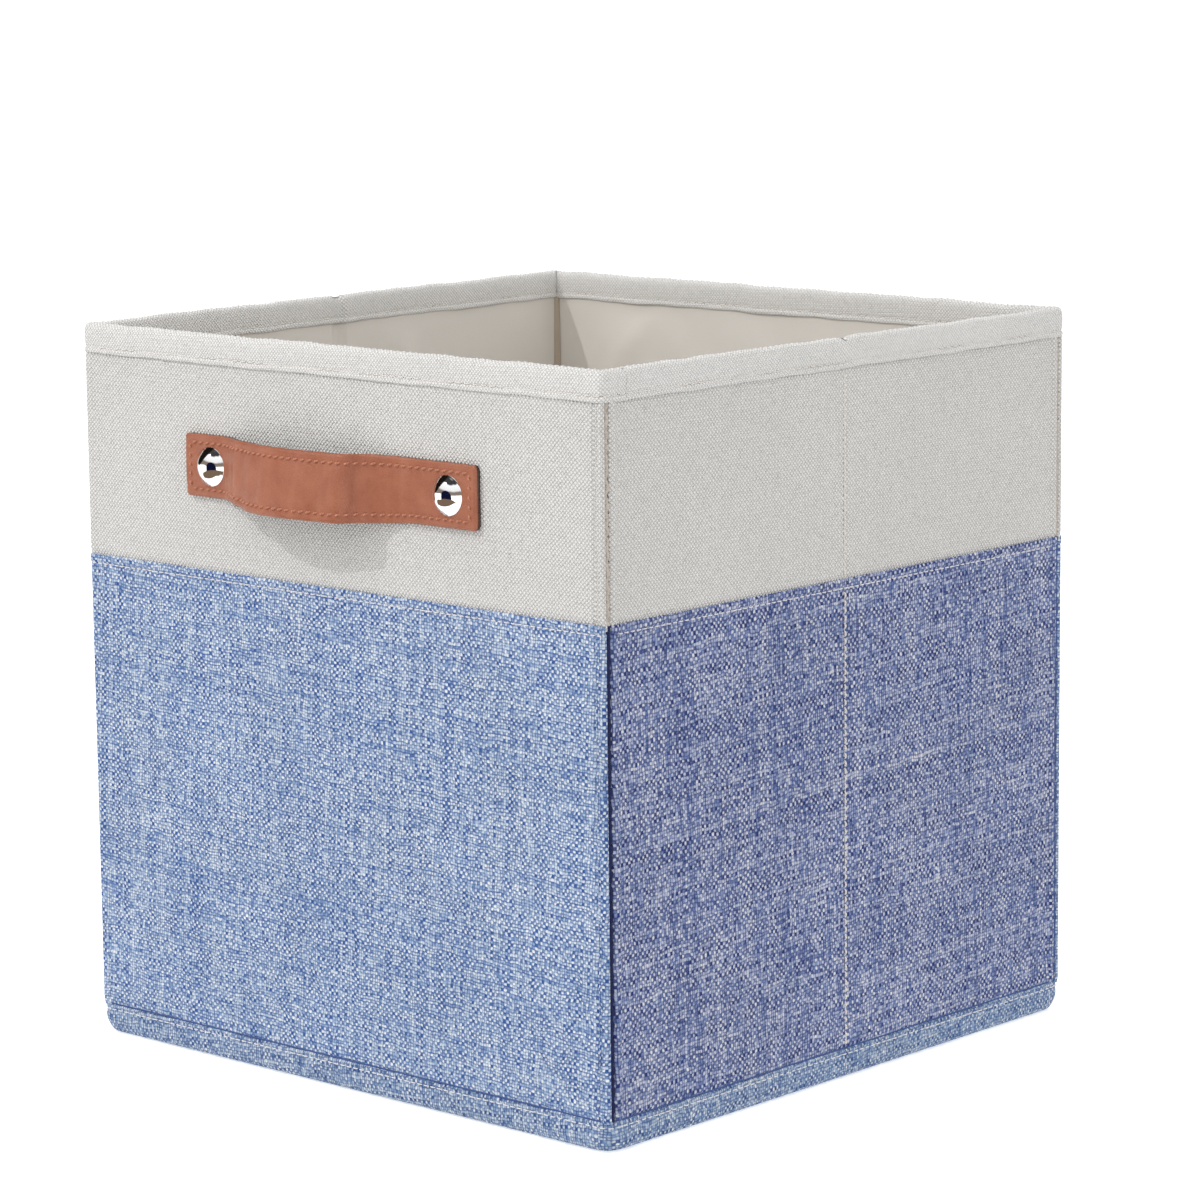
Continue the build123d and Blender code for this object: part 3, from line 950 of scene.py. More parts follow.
def rim_part(stations, name, fasten, whole):
    """One stretch of binding with the stitches on both of its faces."""
    h, z = binding_outline(stations)
    piece = tube(name + "_binding", swept(stations, h, z), outline_uv(stations, h, z), BINDING)
    if whole:
        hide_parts(name + "_rim_binding")
    run = float(stations["u"][-1] - stations["u"][0])
    made = [piece]
    height = BAND + RIM_STITCH_UP
    outside = RIM_IN + RIM_STITCH_OUT
    inside = RIM_IN + RIM_STITCH_IN + (RIM_PINCH + 0.25 * MM) * crease_pinch(stations)
    for h, way, label in ((outside, 1, "_rim_stitches"), (inside, -1, "_rim_stitches_in")):
        made += stitch_swept(stations, h, height, way, name + label, THREAD, CREAM_HOLE, **RIM_STITCH)
    for thing in made:
        fasten(thing)


def squash_foot(piece, body):
    """Attaches a foot piece of a wall to its body, and gives it its own mesh unless the body is the front.
    """
    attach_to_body(piece, body)
    if body == "front":
        return
    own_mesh(piece)


HEM_SEAM = 0.30  # where the front or back hem ends, as a share of the corner's quarter turn
HEM_SPLIT = 0.15 * MM


def hem_pieces():
    """The hem round the foot, split at the corner seams and at the creases."""
    for k, wall in enumerate(RING):
        before = RING[(k - 1) % 4]
        full = wall not in CREASED
        share = HEM_SEAM if full else 1 - HEM_SEAM
        spans = [(wall, -HEM_PIVOT, HEM_PIVOT)]
        if not full:
            low, high = ENDS[wall]
            spans = [(low, -HEM_PIVOT, -HEM_SPLIT), (high, HEM_SPLIT, HEM_PIVOT)]
        for body, s0, s1 in spans:
            square, rounded = (hem_run(wall, before, s0, s1, share, power) for power in (5.2, 2.7))
            h, z = hem_outline(square)
            turned = (1 - smooth_step(z, 0, 7 * MM))[:, :, None]
            points = swept(square, h, z) * (1 - turned) + swept(rounded, h, z) * turned
            piece = tube(body + "_hem_band", points, outline_uv(square, h, z), HEM, flip=True)
            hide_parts(body + "_hem")
            run = float(square["u"][-1] - square["u"][0])
            groove = body + "_hem_groove"
            # The dark cord along the hem's top is painted shade of the groove there.
            made = [piece, cord(square, OUT - 0.34 * MM, FOOT + 0.50 * MM, 0.36 * MM, groove, HEM_GROOVE)]
            made += stitch_swept(
                square, OUT + 0.32 * MM, HEM_STITCH_Z, 1, body + "_hem_stitches", SEAM_THREAD, None,
                pitch=3.6 * MM, length=3.0 * MM, radius=0.28 * MM, arch=0.3,
            )
            for thing in made:
                squash_foot(thing, body)


def hem_run(wall, before, s0, s1, share, power):
    """Stations of one hem piece, with the part of a corner that belongs to it."""
    parts = [straight(wall, s0, s1, 1.6 * MM)]
    if s0 == -HEM_PIVOT:
        parts.insert(0, corner(before, HEM_PIVOT, 1 - share, 1, 13, power, 11 * MM))
    if s1 == HEM_PIVOT:
        parts.append(corner(wall, HEM_PIVOT, 0, share, 13, power, 11 * MM))
    return joined(*parts)


def cord(stations, h, z, radius, name, material):
    """A thin round cord along stations."""
    angle = np.linspace(0, 2 * math.pi, 7)[:-1]
    count = len(stations["base"])
    size = radius * (1 + 0.12 * wave(stations["u"], 2.7))[:, None]
    across = h + size * np.cos(angle)[None, :]
    height = z + size * np.sin(angle)[None, :]
    uv = spread(stations["u"][:, None], angle[None, :] * radius)
    return tube(name, swept(stations, across, height), uv, material)


# ---- inside -------------------------------------------------------------------------------------
def wrinkles(wall, s, z):
    """Soft vertical wrinkles of the lining, none at the corners or under the binding."""
    draw = np.random.default_rng(RING.index(wall) + 60)
    total = 0
    for fold in range(9):
        at = draw.uniform(-120, 120) * MM
        lean = draw.uniform(-0.9, 0.9)
        wide = draw.uniform(4, 11) * MM
        size = draw.uniform(0.7, 1.7) * MM
        fade = smooth_step(BAND - z, 1 * MM, draw.uniform(12, 45) * MM)
        fade = fade * (1 - smooth_step(BAND - z, 60 * MM, 200 * MM))
        total = total + size * hump(s, at + lean * (z - BAND), wide) * fade
    clear = smooth_step(RIM_IN - np.abs(s), 3 * MM, 12 * MM) * smooth_step(z, FOOT, FOOT + 25 * MM)
    crease = 1 - 0.8 * hump(s, 0, 8 * MM) if wall in CREASED else 1
    return total * clear * crease


def lining_panels(wall):
    """The lining of a wall, in stretches."""
    z = mixed_steps(FOOT, BAND + 1.5 * MM, 5 * MM, 1.5 * MM, 9 * MM)
    reach = LINING if wall not in CREASED else RIM_IN - 0.3 * MM
    for body, low, high, pair in sections(wall, reach):
        s = np.linspace(low, high, max(9, int((high - low) / (3.2 * MM))))
        inward = wrinkles(wall, s[:, None], z[None, :]) + ripple(wall, s[:, None], z[None, :], 1.5)
        if wall in CREASED:
            dip = crease_ease(s)[:, None]
            inward = inward - CREASE_DIP * dip
        points = place(wall, s[:, None], LINING - inward, z[None, :])
        uv = spread(s[:, None] + wall_offset(wall), z[None, :])
        toward = tuple(-np.array((*OUTWARD[wall], 0)))
        piece = shell(body + "_lining_cloth", points, uv, LINING_T, PALE, toward)
        attach(piece, wall, body, pair)
        flat = (max(float(high - low), 0.01), float(z[-1] - z[0]))
        if pair is None:
            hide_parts(body + "_lining")
            board_under(body)


def lining_feet(wall):
    """The last stretch of the lining, from the boards down to the bottom panel."""
    z = np.linspace(FOOT + 0.8 * MM, 1.3 * MM, 8)
    ends = [(wall, -LINING, LINING)]
    if wall in CREASED:
        ends = [(ENDS[wall][0], -RIM_IN, -HEM_SPLIT), (ENDS[wall][1], HEM_SPLIT, RIM_IN)]
    for body, low, high in ends:
        s = mixed_steps(low, high, 3.6 * MM, 0.8 * MM, 6 * MM)
        bulge = 0.3 * MM * np.sin(s * 190)[:, None] * np.sin(np.linspace(0, math.pi, 8))[None, :]
        if wall in CREASED:
            # Its top follows the lining above, which is sewn back at the crease.
            dip = crease_ease(s)[:, None]
            bulge = bulge - CREASE_DIP * dip * smooth_step(z, FOOT - 4 * MM, FOOT - 0.5 * MM)[None, :]
        points = place(wall, s[:, None], LINING + 0.1 * MM - bulge, z[None, :])
        uv = spread(s[:, None] + wall_offset(wall), z[None, :])
        toward = tuple(-np.array((*OUTWARD[wall], 0)))
        piece = shell(body + "_lining_foot", points, uv, LINING_T * 0.8, PALE, toward)
        squash_foot(piece, body)


def corner_folds():
    """The slack fold of lining down each inside corner, wider towards the bottom, coloured dark brown as
    painted shade of the corner.
    """
    board_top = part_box("base_board_cover")[1].z + 0.4 * MM
    flat_reach = 0.9 * MM  # at the corner whose walls close on each other without a hinge
    slivers = {}
    for k, wall in enumerate(RING):
        following, a, b = corner_after(wall)
        first, second = ENDS[wall][1], ENDS[following][0]
        name = wall + "_" + following + "_lining_fold"
        spans = [(name, 0.0, 1.0)]
        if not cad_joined(first, second):
            spans = [(name + "_" + first, 0.0, 0.5), (name + "_" + second, 0.5, 1.0)]
        # The open corner's folds end above the hems, which swing past each other there.
        z = np.linspace(BAND + 0.5 * MM, board_top if len(spans) == 1 else FOOT + MM, 41)
        drop = (BAND - z) / (BAND - FOOT)
        reach = (1.5 + 1.5 * np.sqrt(np.clip(drop, 0, 1))) * MM
        for label, low, high in spans:
            t = np.linspace(low, high, int(16 * (high - low)) + 1)
            # A curve that leaves one wall and lands on the other, bowed towards the corner.
            near = np.cos(t * math.pi / 2) ** 1.6
            far = np.sin(t * math.pi / 2) ** 1.6
            sway = 0.3 * MM * np.sin(z * 40 + k)[None, :] * np.sin(t * math.pi)[:, None]
            wide = reach
            if len(spans) == 2:
                wide, sway = np.full(len(z), flat_reach), sway * 0.2
            off_b = wide[None, :] * near[:, None] + sway
            off_a = wide[None, :] * far[:, None] - sway
            level = RIM_IN + 0.62 * MM
            flat = a * (level - off_a)[..., None] + b * (level - off_b)[..., None]
            points = np.concatenate([flat, np.broadcast_to(z, off_a.shape)[..., None]], axis=2)
            uv = spread(t[:, None] * 12 * MM, z[None, :])
            # Its dark brown colour is painted shade of the inside corner.
            piece = shell(label, points, uv, LINING_T * 0.7, SHADED_CORNER_FOLD, (*-(a + b), 0))
            if len(spans) == 1:
                # A strip that widens downwards, so its area is less than its widest place makes it.
                bend_corner(piece, wall)
            else:
                body = first if low == 0 else second
                slivers.setdefault(body, []).append(piece)
                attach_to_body(piece, body)
    return slivers


def corner_grooves():
    """The dark cord in each corner groove, blue part and cream part: painted shade of the groove."""
    nodes = {"front": "front_right", "right": "back_right", "back": "back_left", "left": "front_left"}
    for wall in RING:
        following, a, b = corner_after(wall)
        full_first = wall not in CREASED
        body = wall if full_first else following
        deep, beside = OUT - 0.95 * MM, OUT - GROOVE_AT + 0.85 * MM
        centre = a * beside + b * deep if full_first else a * deep + b * beside
        shade = HEM_GROOVE if "back" in (wall, following) else GROOVE
        spans = (("blue", FOOT + 0.4 * MM, SEAM, shade), ("cream", SEAM, BAND, CREAM_GROOVE))
        for part, low, high, material in spans:
            z = np.linspace(low, high, int((high - low) / (0.9 * MM)))
            angle = np.linspace(0, 2 * math.pi, 9)[:-1]
            size = (0.92 + 0.14 * wave(z, 3.1) + 0.12 * wave(z, 7.7))[:, None] * MM
            sway = 0.22 * MM * wave(z, 5.3, 1.5 * np.sin(z * 210))[:, None]
            x = centre[0] + sway + size * np.cos(angle)[None, :]
            y = centre[1] + sway + size * np.sin(angle)[None, :]
            points = np.stack([x, y, np.broadcast_to(z[:, None], x.shape)], axis=-1)
            uv = spread(angle[None, :] * 0.6 * MM, z[:, None])
            piece = tube(nodes[wall] + "_" + part + "_seam", points, uv, material)
            if part == "blue":
                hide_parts("corner_seam_" + nodes[wall])
            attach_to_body(piece, body)


def side_boards(wall):
    """The boards of a creased wall, which stop where the strip of cloth that bends begins."""
    for body in ENDS[wall]:
        low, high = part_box(body + "_board")
        near, far = max(low.y, CREASE_HALF), high.y
        if high.y < CREASE_HALF:
            near, far = low.y, min(high.y, -CREASE_HALF)
        points = [(x, y, z) for x in (low.x, high.x) for y in (near, far) for z in (low.z, high.z)]
        faces = [(0, 1, 3, 2), (4, 6, 7, 5), (0, 4, 5, 1), (2, 3, 7, 6), (0, 2, 6, 4), (1, 5, 7, 3)]
        piece = new_mesh(body + "_paperboard", points, faces, [(y, z) for x, y, z in points], BOARD)
        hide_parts(body + "_board")
        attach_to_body(piece, body)


# ---- seams on the outside -----------------------------------------------------------------------
def colour_seams():
    """The row of pale stitches just below the blue fabric's upper edge."""
    for wall in RING:
        reach = OUT - 0.6 * MM if wall not in CREASED else OUT - GROOVE_AT - 0.4 * MM
        for body, low, high, pair in sections(wall, reach):
            stations = straight(wall, low, high, 4 * MM)
            h, z, name = OUT - 0.02 * MM, SEAM - SEAM_STITCH_DOWN, body + "_seam_stitches"
            for piece in stitch_swept(stations, h, z, 1, name, SEAM_THREAD, None, **SEAM_STITCH):
                attach(piece, wall, body, pair)


def upright_seams():
    """Rows of stitches up the side walls, beside each crease."""
    for wall, body, side in (("right", "right_front", -1), ("left", "left_front", 1)):
        rows = Stitches()
        for low, high, out in ((FOOT + 1.5 * MM, SEAM - 5 * MM, 0.0), (SEAM + 1 * MM, BAND - 2 * MM, -0.12)):
            z = np.linspace(low, high, 60)
            line = place(wall, side * 1.0 * MM, OUT + (0.06 + out) * MM, z)
            normal = np.tile((*OUTWARD[wall], 0.0), (60, 1))
            rows.row(line, normal, pitch=3.1 * MM, length=2.9 * MM, radius=0.46 * MM, arch=0.5, holes=0)
        piece = rows.build(wall + "_centre_stitches", THREAD)[0]
        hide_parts(wall + "_centre_seam")
        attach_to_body(piece, body)


# ---- handles ------------------------------------------------------------------------------------
STRAP_LOW, STRAP_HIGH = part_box("front_handle_strap")
STRAP_HALF = (STRAP_HIGH.x - STRAP_LOW.x) / 2
STRAP_W = STRAP_HIGH.z - STRAP_LOW.z
STRAP_Z = (STRAP_HIGH.z + STRAP_LOW.z) / 2
BACKING_T = 1.2 * MM
BACKING_INSET = 0.15 * MM  # how much narrower the dark layer is than the tan one, on each side
STITCH_INSET = 3.3 * MM  # from the strap's edges to its stitches
PADDED_T = 1.3 * MM  # a leather layer thicker than this has a valley, a pillow and puckers
STACK_T = 2.6 * MM
STRAP_TILT = 0.18  # how much further out the lower edge stands than the middle, and the upper edge less
# The wall side of the strap, flat under the rivets: millimetres along the wall and out of it.
STRAP_SHAPE = [
    (-81, 0), (-58, 0), (-50, 3.6), (-44.5, 6.9), (-38, 8.6), (-31, 11.6), (-22, 13.5), (-10, 14.1),
    (3, 13.1), (13, 12.1), (18, 11.0), (21, 7.3), (25, 4.0), (30.5, 1.6), (36, 0.4), (43, 0), (81, 0),
]


def strap_path(count=261):
    """The strap's wall side from end to end: points (s, out), normals, and the distance along it."""
    dense = refine_straight(STRAP_SHAPE, 0.25) * MM
    kernel = np.exp(-((np.arange(-24, 25) * 0.25 / 1.3) ** 2) / 2)
    kernel = kernel / kernel.sum()
    padded = np.concatenate([dense[:1].repeat(24, axis=0), dense, dense[-1:].repeat(24, axis=0)])
    padded[:24, 0] -= np.arange(24, 0, -1) * 0.25 * MM
    padded[-24:, 0] += np.arange(1, 25) * 0.25 * MM
    dense = np.stack([np.convolve(padded[:, k], kernel, mode="valid") for k in range(2)], axis=1)
    along = path_length(dense)
    at = np.linspace(0, along[-1], count)
    points = read_off(at, along, dense)
    run = unit(np.gradient(points, axis=0))
    return points, np.stack([-run[:, 1], run[:, 0]], axis=1), at


def strap_place(wall, s, out, z):
    """Points at a distance out from the face of a wall's fabric."""
    return place(wall, s, OUT + out, z)


def strap_sag(points, share):
    """How far the strap hangs down where it stands clear of the wall, most at its lower edge."""
    clear = smooth_step(STRAP_HALF * 0.62 - np.abs(points[:, 0]), 0, 22 * MM)[:, None]
    return clear * (0.5 - 0.7 * share) * MM


def strap_surface(wall, lift, w):
    """Points on the strap at a distance off its wall side and a share across its width."""
    points, normal, at = strap_path()
    tilt = -STRAP_TILT * points[:, 1][:, None] * w[None, :]
    out = points[:, 1][:, None] + normal[:, 1][:, None] * lift + tilt
    s = points[:, 0][:, None] + normal[:, 0][:, None] * lift + 0 * w[None, :]
    z = STRAP_Z + w[None, :] * STRAP_W / 2 - strap_sag(points, w[None, :])
    return strap_place(wall, s, out, z), at


# Small puckers across the strap, in millimetres: distance along it, width, height.
STRAP_PUCKERS = [
    (30, 1.6, 0.18), (34, 1.8, -0.20), (39, 1.8, 0.36), (45, 2.0, -0.24), (50, 1.6, 0.26),
    (56, 2.2, -0.16), (90, 3.4, -0.25), (100, 1.8, 0.70), (106.5, 2.4, -0.80), (116, 2.6, 0.16),
    (124, 2.4, -0.10), (131, 3.0, 0.10),
]


def strap_puckers(at, front):
    """Height of the puckers at distances along the strap and shares across it."""
    total = sum(size * MM * hump(at, middle * MM, width * MM) for middle, width, size in STRAP_PUCKERS)
    return total[:, None] * (0.7 + 0.3 * np.cos(front * 2.6 + 0.4))[None, :]


def strap_band(wall, name, low, high, inset, material, node):
    """One leather layer: rounded edges, a valley under the stitches, small puckers at the bends."""
    half = STRAP_W / 2 - inset
    points, normal, at = strap_path()
    length = at[-1]
    end = np.minimum(at, length - at)
    radius = 1.6 * MM
    # The ends narrow over their corner radius.
    narrow = radius - np.sqrt(np.maximum(radius**2 - np.maximum(radius - end, 0) ** 2, 0))
    front = np.linspace(-1, 1, 33)
    front = np.sign(front) * (1 - (1 - np.abs(front)) ** 1.35)
    reach = (half - narrow)[:, None]
    from_edge = reach * (1 - np.abs(front))[None, :]
    thick = high - low
    padded = thick > PADDED_T
    edge = -0.45 * thick * (1 - smooth_step(from_edge, 0, 0.7 * MM))
    valley = -0.16 * MM * hump(from_edge, STITCH_INSET, 0.45 * MM) * padded
    pillow = 0.22 * MM * smooth_step(from_edge, 3.4 * MM, 7 * MM) * padded
    stop = -0.45 * thick * (1 - smooth_step(end, 0, 0.6 * MM))[:, None]
    top = high + edge + valley + pillow + stop + strap_puckers(at, front) * padded
    share = reach * front[None, :] / (STRAP_W / 2)

    def at_lift(lift):
        out = points[:, 1][:, None] * (1 - STRAP_TILT * share) + normal[:, 1][:, None] * lift
        s = points[:, 0][:, None] + normal[:, 0][:, None] * lift
        z = STRAP_Z + share * STRAP_W / 2 - strap_sag(points, share)
        return strap_place(wall, s, out, z)

    outer = at_lift(top)
    bottom = low + 0.25 * thick * (1 - smooth_step(from_edge, 0, 0.5 * MM))
    inner = at_lift(bottom)[:, ::-1]
    both = np.concatenate([outer, inner], axis=1)
    v = np.concatenate([share, share[:, ::-1]], axis=1) * STRAP_W / 2
    uv = spread(at[:, None], v)
    piece = tube(name, both, uv, material, flip=True)
    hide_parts(node)
    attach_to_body(piece, wall)


def strap_stitches(wall):
    """Slanted stitches round the strap's edge, in the valley."""
    inset = STITCH_INSET / (STRAP_W / 2)
    share = np.array([-(1 - inset), 1 - inset])
    lift = STACK_T - 0.12 * MM + strap_puckers(strap_path()[2], share)
    surface, at = strap_surface(wall, lift, share)
    keep = (at > STITCH_INSET) & (at < at[-1] - STITCH_INSET)
    rows = Stitches()
    shape = {"pitch": 3.6 * MM, "length": 2.7 * MM, "radius": 0.46 * MM, "arch": 1.1}
    shape.update(slant=0.24, holes=1.3)
    direction = np.array((*OUTWARD[wall], 0.0))
    for j in range(2):
        line = surface[keep, j]
        run = np.gradient(line, axis=0)
        up = unit(np.cross((0, 0, 1.0), run))
        up = up * np.sign((up * direction).sum(axis=1, keepdims=True))
        rows.row(line, up, **shape)
    for at_end in (STITCH_INSET, at[-1] - STITCH_INSET):
        i = int(np.argmin(np.abs(at - at_end)))
        line = np.linspace(surface[i, 0], surface[i, 1], 12)
        rows.row(line, np.tile(direction, (12, 1)), **shape)
    for piece in rows.build(wall + "_handle_stitches", TAN_THREAD, TAN_HOLE):
        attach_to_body(piece, wall)


def rivet_caps(wall):
    """Domed mirror caps with a fine rolled rim."""
    low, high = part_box(wall + "_rivet_caps")
    radius = (high.z - low.z) / 2
    spacing = (high.x - low.x) / 2 - radius
    crown = (high.y if wall == "back" else -low.y) - OUT
    base = STACK_T - 0.15 * MM
    # Share of the radius and height of the cap, from its crown to its foot.
    shape = [
        (0.0, crown), (0.22, crown - 0.12 * MM), (0.45, crown - 0.62 * MM), (0.66, crown - 1.45 * MM),
        (0.84, crown - 2.55 * MM), (0.95, crown - 3.35 * MM), (1.0, crown - 3.75 * MM),
        (1.0, crown - 4.05 * MM), (0.95, base),
    ]
    profile = refine(shape, 6)
    turns = 72
    angle = np.linspace(0, 2 * math.pi, turns, endpoint=False)
    points, faces, uv = [], [], []
    for side in (-1, 1):
        start = len(points)
        for share, out in profile:
            for a in angle:
                r = radius * max(share, 0.004)
                x, y = r * math.cos(a), r * math.sin(a)
                points.append(place(wall, side * spacing + x, OUT + out, STRAP_Z + y))
                uv.append((x, y))
        faces += capped_faces(len(profile), turns, start=start)
    piece = new_mesh(wall + "_mirror_caps", points, faces, uv, CHROME)
    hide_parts(wall + "_rivet_caps")
    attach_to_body(piece, wall)


# ---- bottom -------------------------------------------------------------------------------------
def soft_slab(name, half, low, high, crown, edge, material):
    """A flat covered board or panel with soft edges, as one closed mesh."""
    steps = mixed_steps(-half, half, 7 * MM, 0.5 * MM, 5 * MM)
    x, y = np.meshgrid(steps, steps, indexing="ij")
    inset = half - np.maximum(np.abs(x), np.abs(y))
    corner_cut = np.maximum(np.abs(x) + np.abs(y) - (2 * half - 3 * MM), 0)
    x = x - np.sign(x) * corner_cut * 0.4
    y = y - np.sign(y) * corner_cut * 0.4
    swell = ripple("front", x, y, 2.0) + crown * smooth_step(inset, 0, 60 * MM)
    middle = (low + high) / 2
    round_off = np.sqrt(np.clip(1 - (1 - np.clip(inset / edge, 0, 1)) ** 2, 0, 1))
    top = middle + (high - middle) * round_off + swell * round_off
    under = middle - (middle - low) * round_off
    columns = x.shape[1]
    count = x.size
    points = np.concatenate(
        [np.stack([x, y, top], axis=-1).reshape(-1, 3), np.stack([x, y, under], axis=-1).reshape(-1, 3)]
    )
    uv = np.stack([x, y], axis=-1).reshape(-1, 2)
    faces = grid_faces(x.shape[0], columns, flip=False)
    faces += grid_faces(x.shape[0], columns, start=count, flip=True)
    thing = new_mesh(name, points, faces, np.concatenate([uv, uv]), material)
    weld(thing)
    return thing


def weld(thing, distance=1e-6):
    """Joins the points that lie in the same place, so that both faces of a slab share their edge."""
    made = bmesh.new()
    made.from_mesh(thing.data)
    bmesh.ops.remove_doubles(made, verts=made.verts, dist=distance)
    bmesh.ops.recalc_face_normals(made, faces=made.faces)
    made.to_mesh(thing.data)
    made.free()
    thing.data.polygons.foreach_set("use_smooth", np.ones(len(thing.data.polygons), bool))


def bottom_pieces():
    """The covered base board, and the two cloths of the bottom panel."""
    low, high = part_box("base_board_under_sheet")[0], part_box("base_board_cover")[1]
    cover = soft_slab("base_board_cloth", high.x, low.z, high.z, 0.35 * MM, 1.6 * MM, PALE)
    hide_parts("base_board_cover", "base_board_under_sheet")
    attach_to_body(cover, "base_board")
    low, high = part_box("bottom_panel")
    middle = high.z - 0.35 * MM
    panel = soft_slab("bottom_cloth", high.x, low.z, middle, 0.0, 0.6 * MM, HEM)
    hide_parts("bottom_panel")
    inside = soft_slab("bottom_lining", high.x, middle, high.z, 0.0, 0.6 * MM, PALE)
    for sheet, under in ((panel, "front_hem_band"), (inside, "bottom_cloth")):
        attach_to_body(sheet, "front")
        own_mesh(sheet)


# ---- CAD nodes that stay ------------------------------------------------------------------------
def finish_node(node, material):
    mesh = frame["nodes"][node].data
    mesh.materials.clear()
    mesh.materials.append(material)


def finish_nodes():
    """Board and metal looks for the CAD nodes that no piece replaces."""
    for node in frame["nodes"]:
        if node.endswith("_board") or node == "base_board_core":
            finish_node(node, BOARD)
        elif node.endswith("_posts") or node.endswith("_washers"):
            finish_node(node, STEEL)


# ---- stage --------------------------------------------------------------------------------------
def stage_floor():
    """A white floor, whose light on the bin is set apart from what the camera sees of it."""
    n = Nodes("studio_floor")
    cloud = n.noise(n.from_object(), scale=0.8, detail=1.0)
    colour = n.mix(cloud, (0.86, 0.86, 0.86), (0.88, 0.88, 0.88))
    bounced = n.node("LightPath", output="Is Diffuse Ray")
    n.finish(n.mix(bounced, colour, (0.0, 0.0, 0.0)), 0.9, specular=0.0)
    n.shader.inputs["Emission Color"].default_value = (1, 1, 1, 1)
    n.put(n.remap(bounced, 0.0, 1.0, 0.50, FLOOR_BOUNCE), n.shader.inputs["Emission Strength"])
    points = [(x * FLOOR_HALF, y * FLOOR_HALF, FLOOR_Z) for x, y in ((-1, -1), (1, -1), (1, 1), (-1, 1))]
    floor = new_mesh("studio_floor", points, [(0, 1, 2, 3)], [p[:2] for p in points], n.material)


def way_to(azimuth, elevation):
    """The unit vector that leaves the front of the bin at two angles in degrees."""
    a, e = math.radians(azimuth), math.radians(elevation)
    return Vector((math.sin(a) * math.cos(e), -math.cos(a) * math.cos(e), math.sin(e)))


def area_light(name, toward_light, distance, size, power, colour=(1, 1, 1)):
    data = bpy.data.lights.new(name, "AREA")
    data.shape = "DISK"
    data.size = size
    data.energy = power
    data.color = colour
    light = bpy.data.objects.new(name, data)
    direction = Vector(toward_light).normalized()
    light.location = Vector((0, 0, 0.2)) + direction * distance
    light.rotation_mode = "QUATERNION"
    light.rotation_quaternion = direction.to_track_quat("Z", "Y")
    bpy.context.scene.collection.objects.link(light)


def studio_world():
    """An even pale room, which mirror-like surfaces see as pale and dark bands."""
    world = bpy.data.worlds.new("studio")
    world.use_nodes = True
    bpy.context.scene.world = world
    tree = world.node_tree
    tree.nodes.clear()
    coords = tree.nodes.new("ShaderNodeTexCoord")
    split = tree.nodes.new("ShaderNodeSeparateXYZ")
    tree.links.new(coords.outputs["Generated"], split.inputs[0])
    bands = tree.nodes.new("ShaderNodeValToRGB")
    tree.links.new(split.outputs["Z"], bands.inputs[0])
    marks = bands.color_ramp.elements
    for _ in range(len(ROOM_BANDS) - 2):
        marks.new(0.5)
    for mark, (height, tone) in zip(marks, ROOM_BANDS):
        mark.position = height
        mark.color = (*tone, 1)
    path = tree.nodes.new("ShaderNodeLightPath")
    pick = tree.nodes.new("ShaderNodeMix")
    pick.data_type = "RGBA"
    tree.links.new(path.outputs["Is Glossy Ray"], pick.inputs[0])
    pick.inputs[6].default_value = (ROOM_LIGHT, ROOM_LIGHT, ROOM_LIGHT, 1)
    tree.links.new(bands.outputs[0], pick.inputs[7])
    background = tree.nodes.new("ShaderNodeBackground")
    tree.links.new(pick.outputs[2], background.inputs["Color"])
    output = tree.nodes.new("ShaderNodeOutputWorld")
    tree.links.new(background.outputs[0], output.inputs[0])


def mirror_card(name, azimuth, elevation, distance, size, tone):
    """A round card facing the front handle, seen only by mirror-like surfaces."""
    n = Nodes(name)
    n.finish((0.0, 0.0, 0.0), 1.0, specular=0.0)
    n.shader.inputs["Emission Color"].default_value = (*tone, 1)
    n.shader.inputs["Emission Strength"].default_value = 1.0
    way = way_to(azimuth, elevation)
    middle = Vector((0, -OUT, STRAP_Z)) + way * distance
    side = way.cross(Vector((0, 0, 1))).normalized()
    up = side.cross(way)
    turns = np.linspace(0, 2 * math.pi, 33)[:-1]
    points = [middle + side * size[0] * math.cos(k) + up * size[1] * math.sin(k) for k in turns]
    uv = [(math.cos(k), math.sin(k)) for k in turns]
    card = new_mesh(name, points, [tuple(range(32))], uv, n.material)
    for kind in ("camera", "diffuse", "transmission", "volume_scatter", "shadow"):
        setattr(card, "visible_" + kind, False)


# What mirror-like surfaces see by height: share of the way from the horizon to straight up, and colour.
ROOM_BANDS = [
    (0.00, (0.30, 0.25, 0.20)),
    (0.22, (0.22, 0.18, 0.15)),
    (0.34, (0.95, 0.95, 0.95)),
    (0.66, (1.1, 1.1, 1.1)),
    (0.72, (0.05, 0.05, 0.05)),
    (0.84, (0.05, 0.05, 0.05)),
    (0.92, (0.9, 0.9, 0.9)),
]
ROOM_LIGHT = 1.05
FLOOR_HALF, FLOOR_Z = 30, -0.2 * MM
FLOOR_BOUNCE = 0.92  # what the floor throws back up at the bin
CAMERA = {"azimuth": 42.19, "elevation": 9.52, "distance": 1.861, "roll": -0.61, "field": 15.3}
AIM = Vector((0.0117, 0.0, 0.1816))


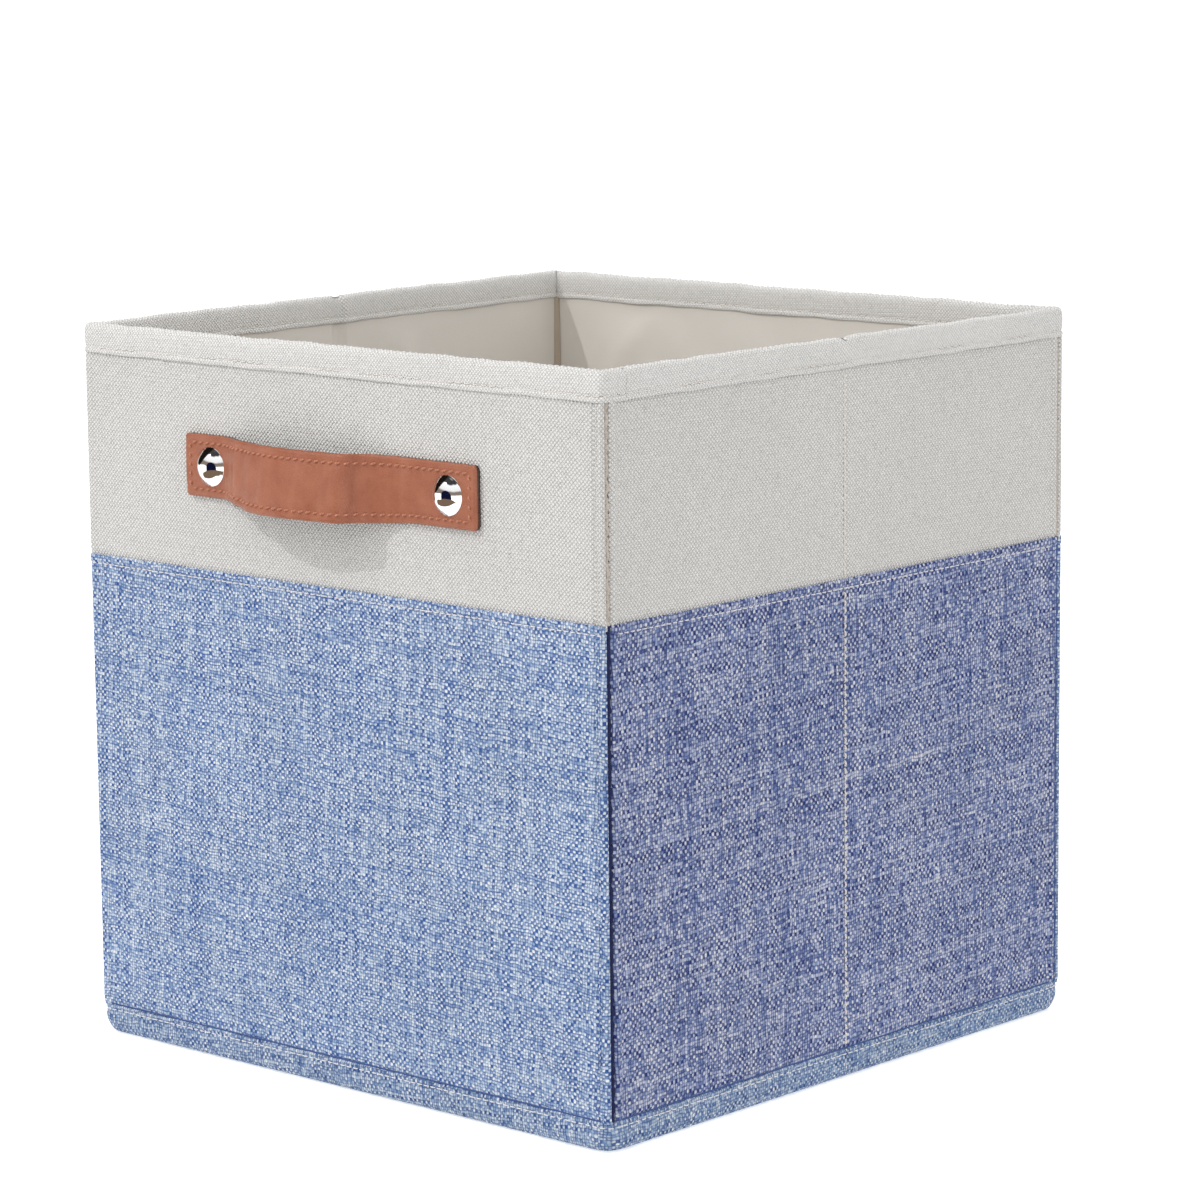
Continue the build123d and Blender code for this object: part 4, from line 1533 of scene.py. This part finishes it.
def make_camera():
    """The photograph's camera, looking at AIM."""
    data = bpy.data.cameras.new("camera")
    data.sensor_fit = "HORIZONTAL"
    data.sensor_width = 36.0
    data.lens = 18.0 / math.tan(math.radians(CAMERA["field"]) / 2)
    camera = bpy.data.objects.new("camera", data)
    back = way_to(CAMERA["azimuth"], CAMERA["elevation"])
    right = (-back).cross(Vector((0, 0, 1))).normalized()
    up = right.cross(-back)
    roll = math.radians(CAMERA["roll"])
    x = right * math.cos(roll) + up * math.sin(roll)
    y = -right * math.sin(roll) + up * math.cos(roll)
    turned = Matrix((x, y, back)).transposed().to_4x4()
    camera.matrix_world = Matrix.Translation(AIM + back * CAMERA["distance"]) @ turned
    bpy.context.scene.collection.objects.link(camera)
    bpy.context.scene.camera = camera


# ---- the bin ------------------------------------------------------------------------------------
make_camera()
stage_floor()
studio_world()
# Azimuth and elevation in degrees, distance, half width and half height, and colour.
mirror_card("dark_card", -8, -10, 0.70, (0.36, 0.36), (0.006, 0.007, 0.03))
mirror_card("shade_card", -84, 30, 0.90, (0.50, 0.60), (0.01, 0.008, 0.006))
mirror_card("brown_card", -16, -40, 0.34, (0.36, 0.16), (0.20, 0.135, 0.09))
area_light("key", (-0.37, -0.62, 0.69), distance=2.4, size=0.05, power=13.5, colour=(1.0, 0.995, 0.99))

blue_z = mixed_steps(FOOT - 0.5 * MM, SEAM, 5 * MM, 0.35 * MM, 5 * MM)
cream_z = mixed_steps(SEAM - 2.0 * MM, BAND + 1.0 * MM, 4 * MM, 0.5 * MM, 5 * MM)
open_corner = corner_folds()
for wall_name in RING:
    # The side walls take the darker blue, which is painted shade.
    blue = SHADED_SIDE_MELANGE if wall_name in CREASED else MELANGE
    outer_panel(wall_name, "blue", blue_z, blue_profile(blue_z), blue, "_lower_fabric")
    outer_panel(wall_name, "cream", cream_z, cream_profile(cream_z), CREAM, "_upper_fabric")
    lining_panels(wall_name)
    lining_feet(wall_name)
for wall_name in CREASED:
    side_boards(wall_name)

rim_pieces()
hem_pieces()
corner_grooves()
colour_seams()
upright_seams()
bottom_pieces()
finish_nodes()

for wall_name in ("front", "back"):
    strap_band(
        wall_name, wall_name + "_tan_strap", BACKING_T, STACK_T, 0.0, TAN,
        wall_name + "_handle_strap",
    )
    strap_band(
        wall_name, wall_name + "_strap_backing", 0.0, BACKING_T, BACKING_INSET, DARK,
        wall_name + "_handle_backing",
    )
    strap_stitches(wall_name)
    rivet_caps(wall_name)

bpy.context.scene.view_settings.view_transform = "Standard"
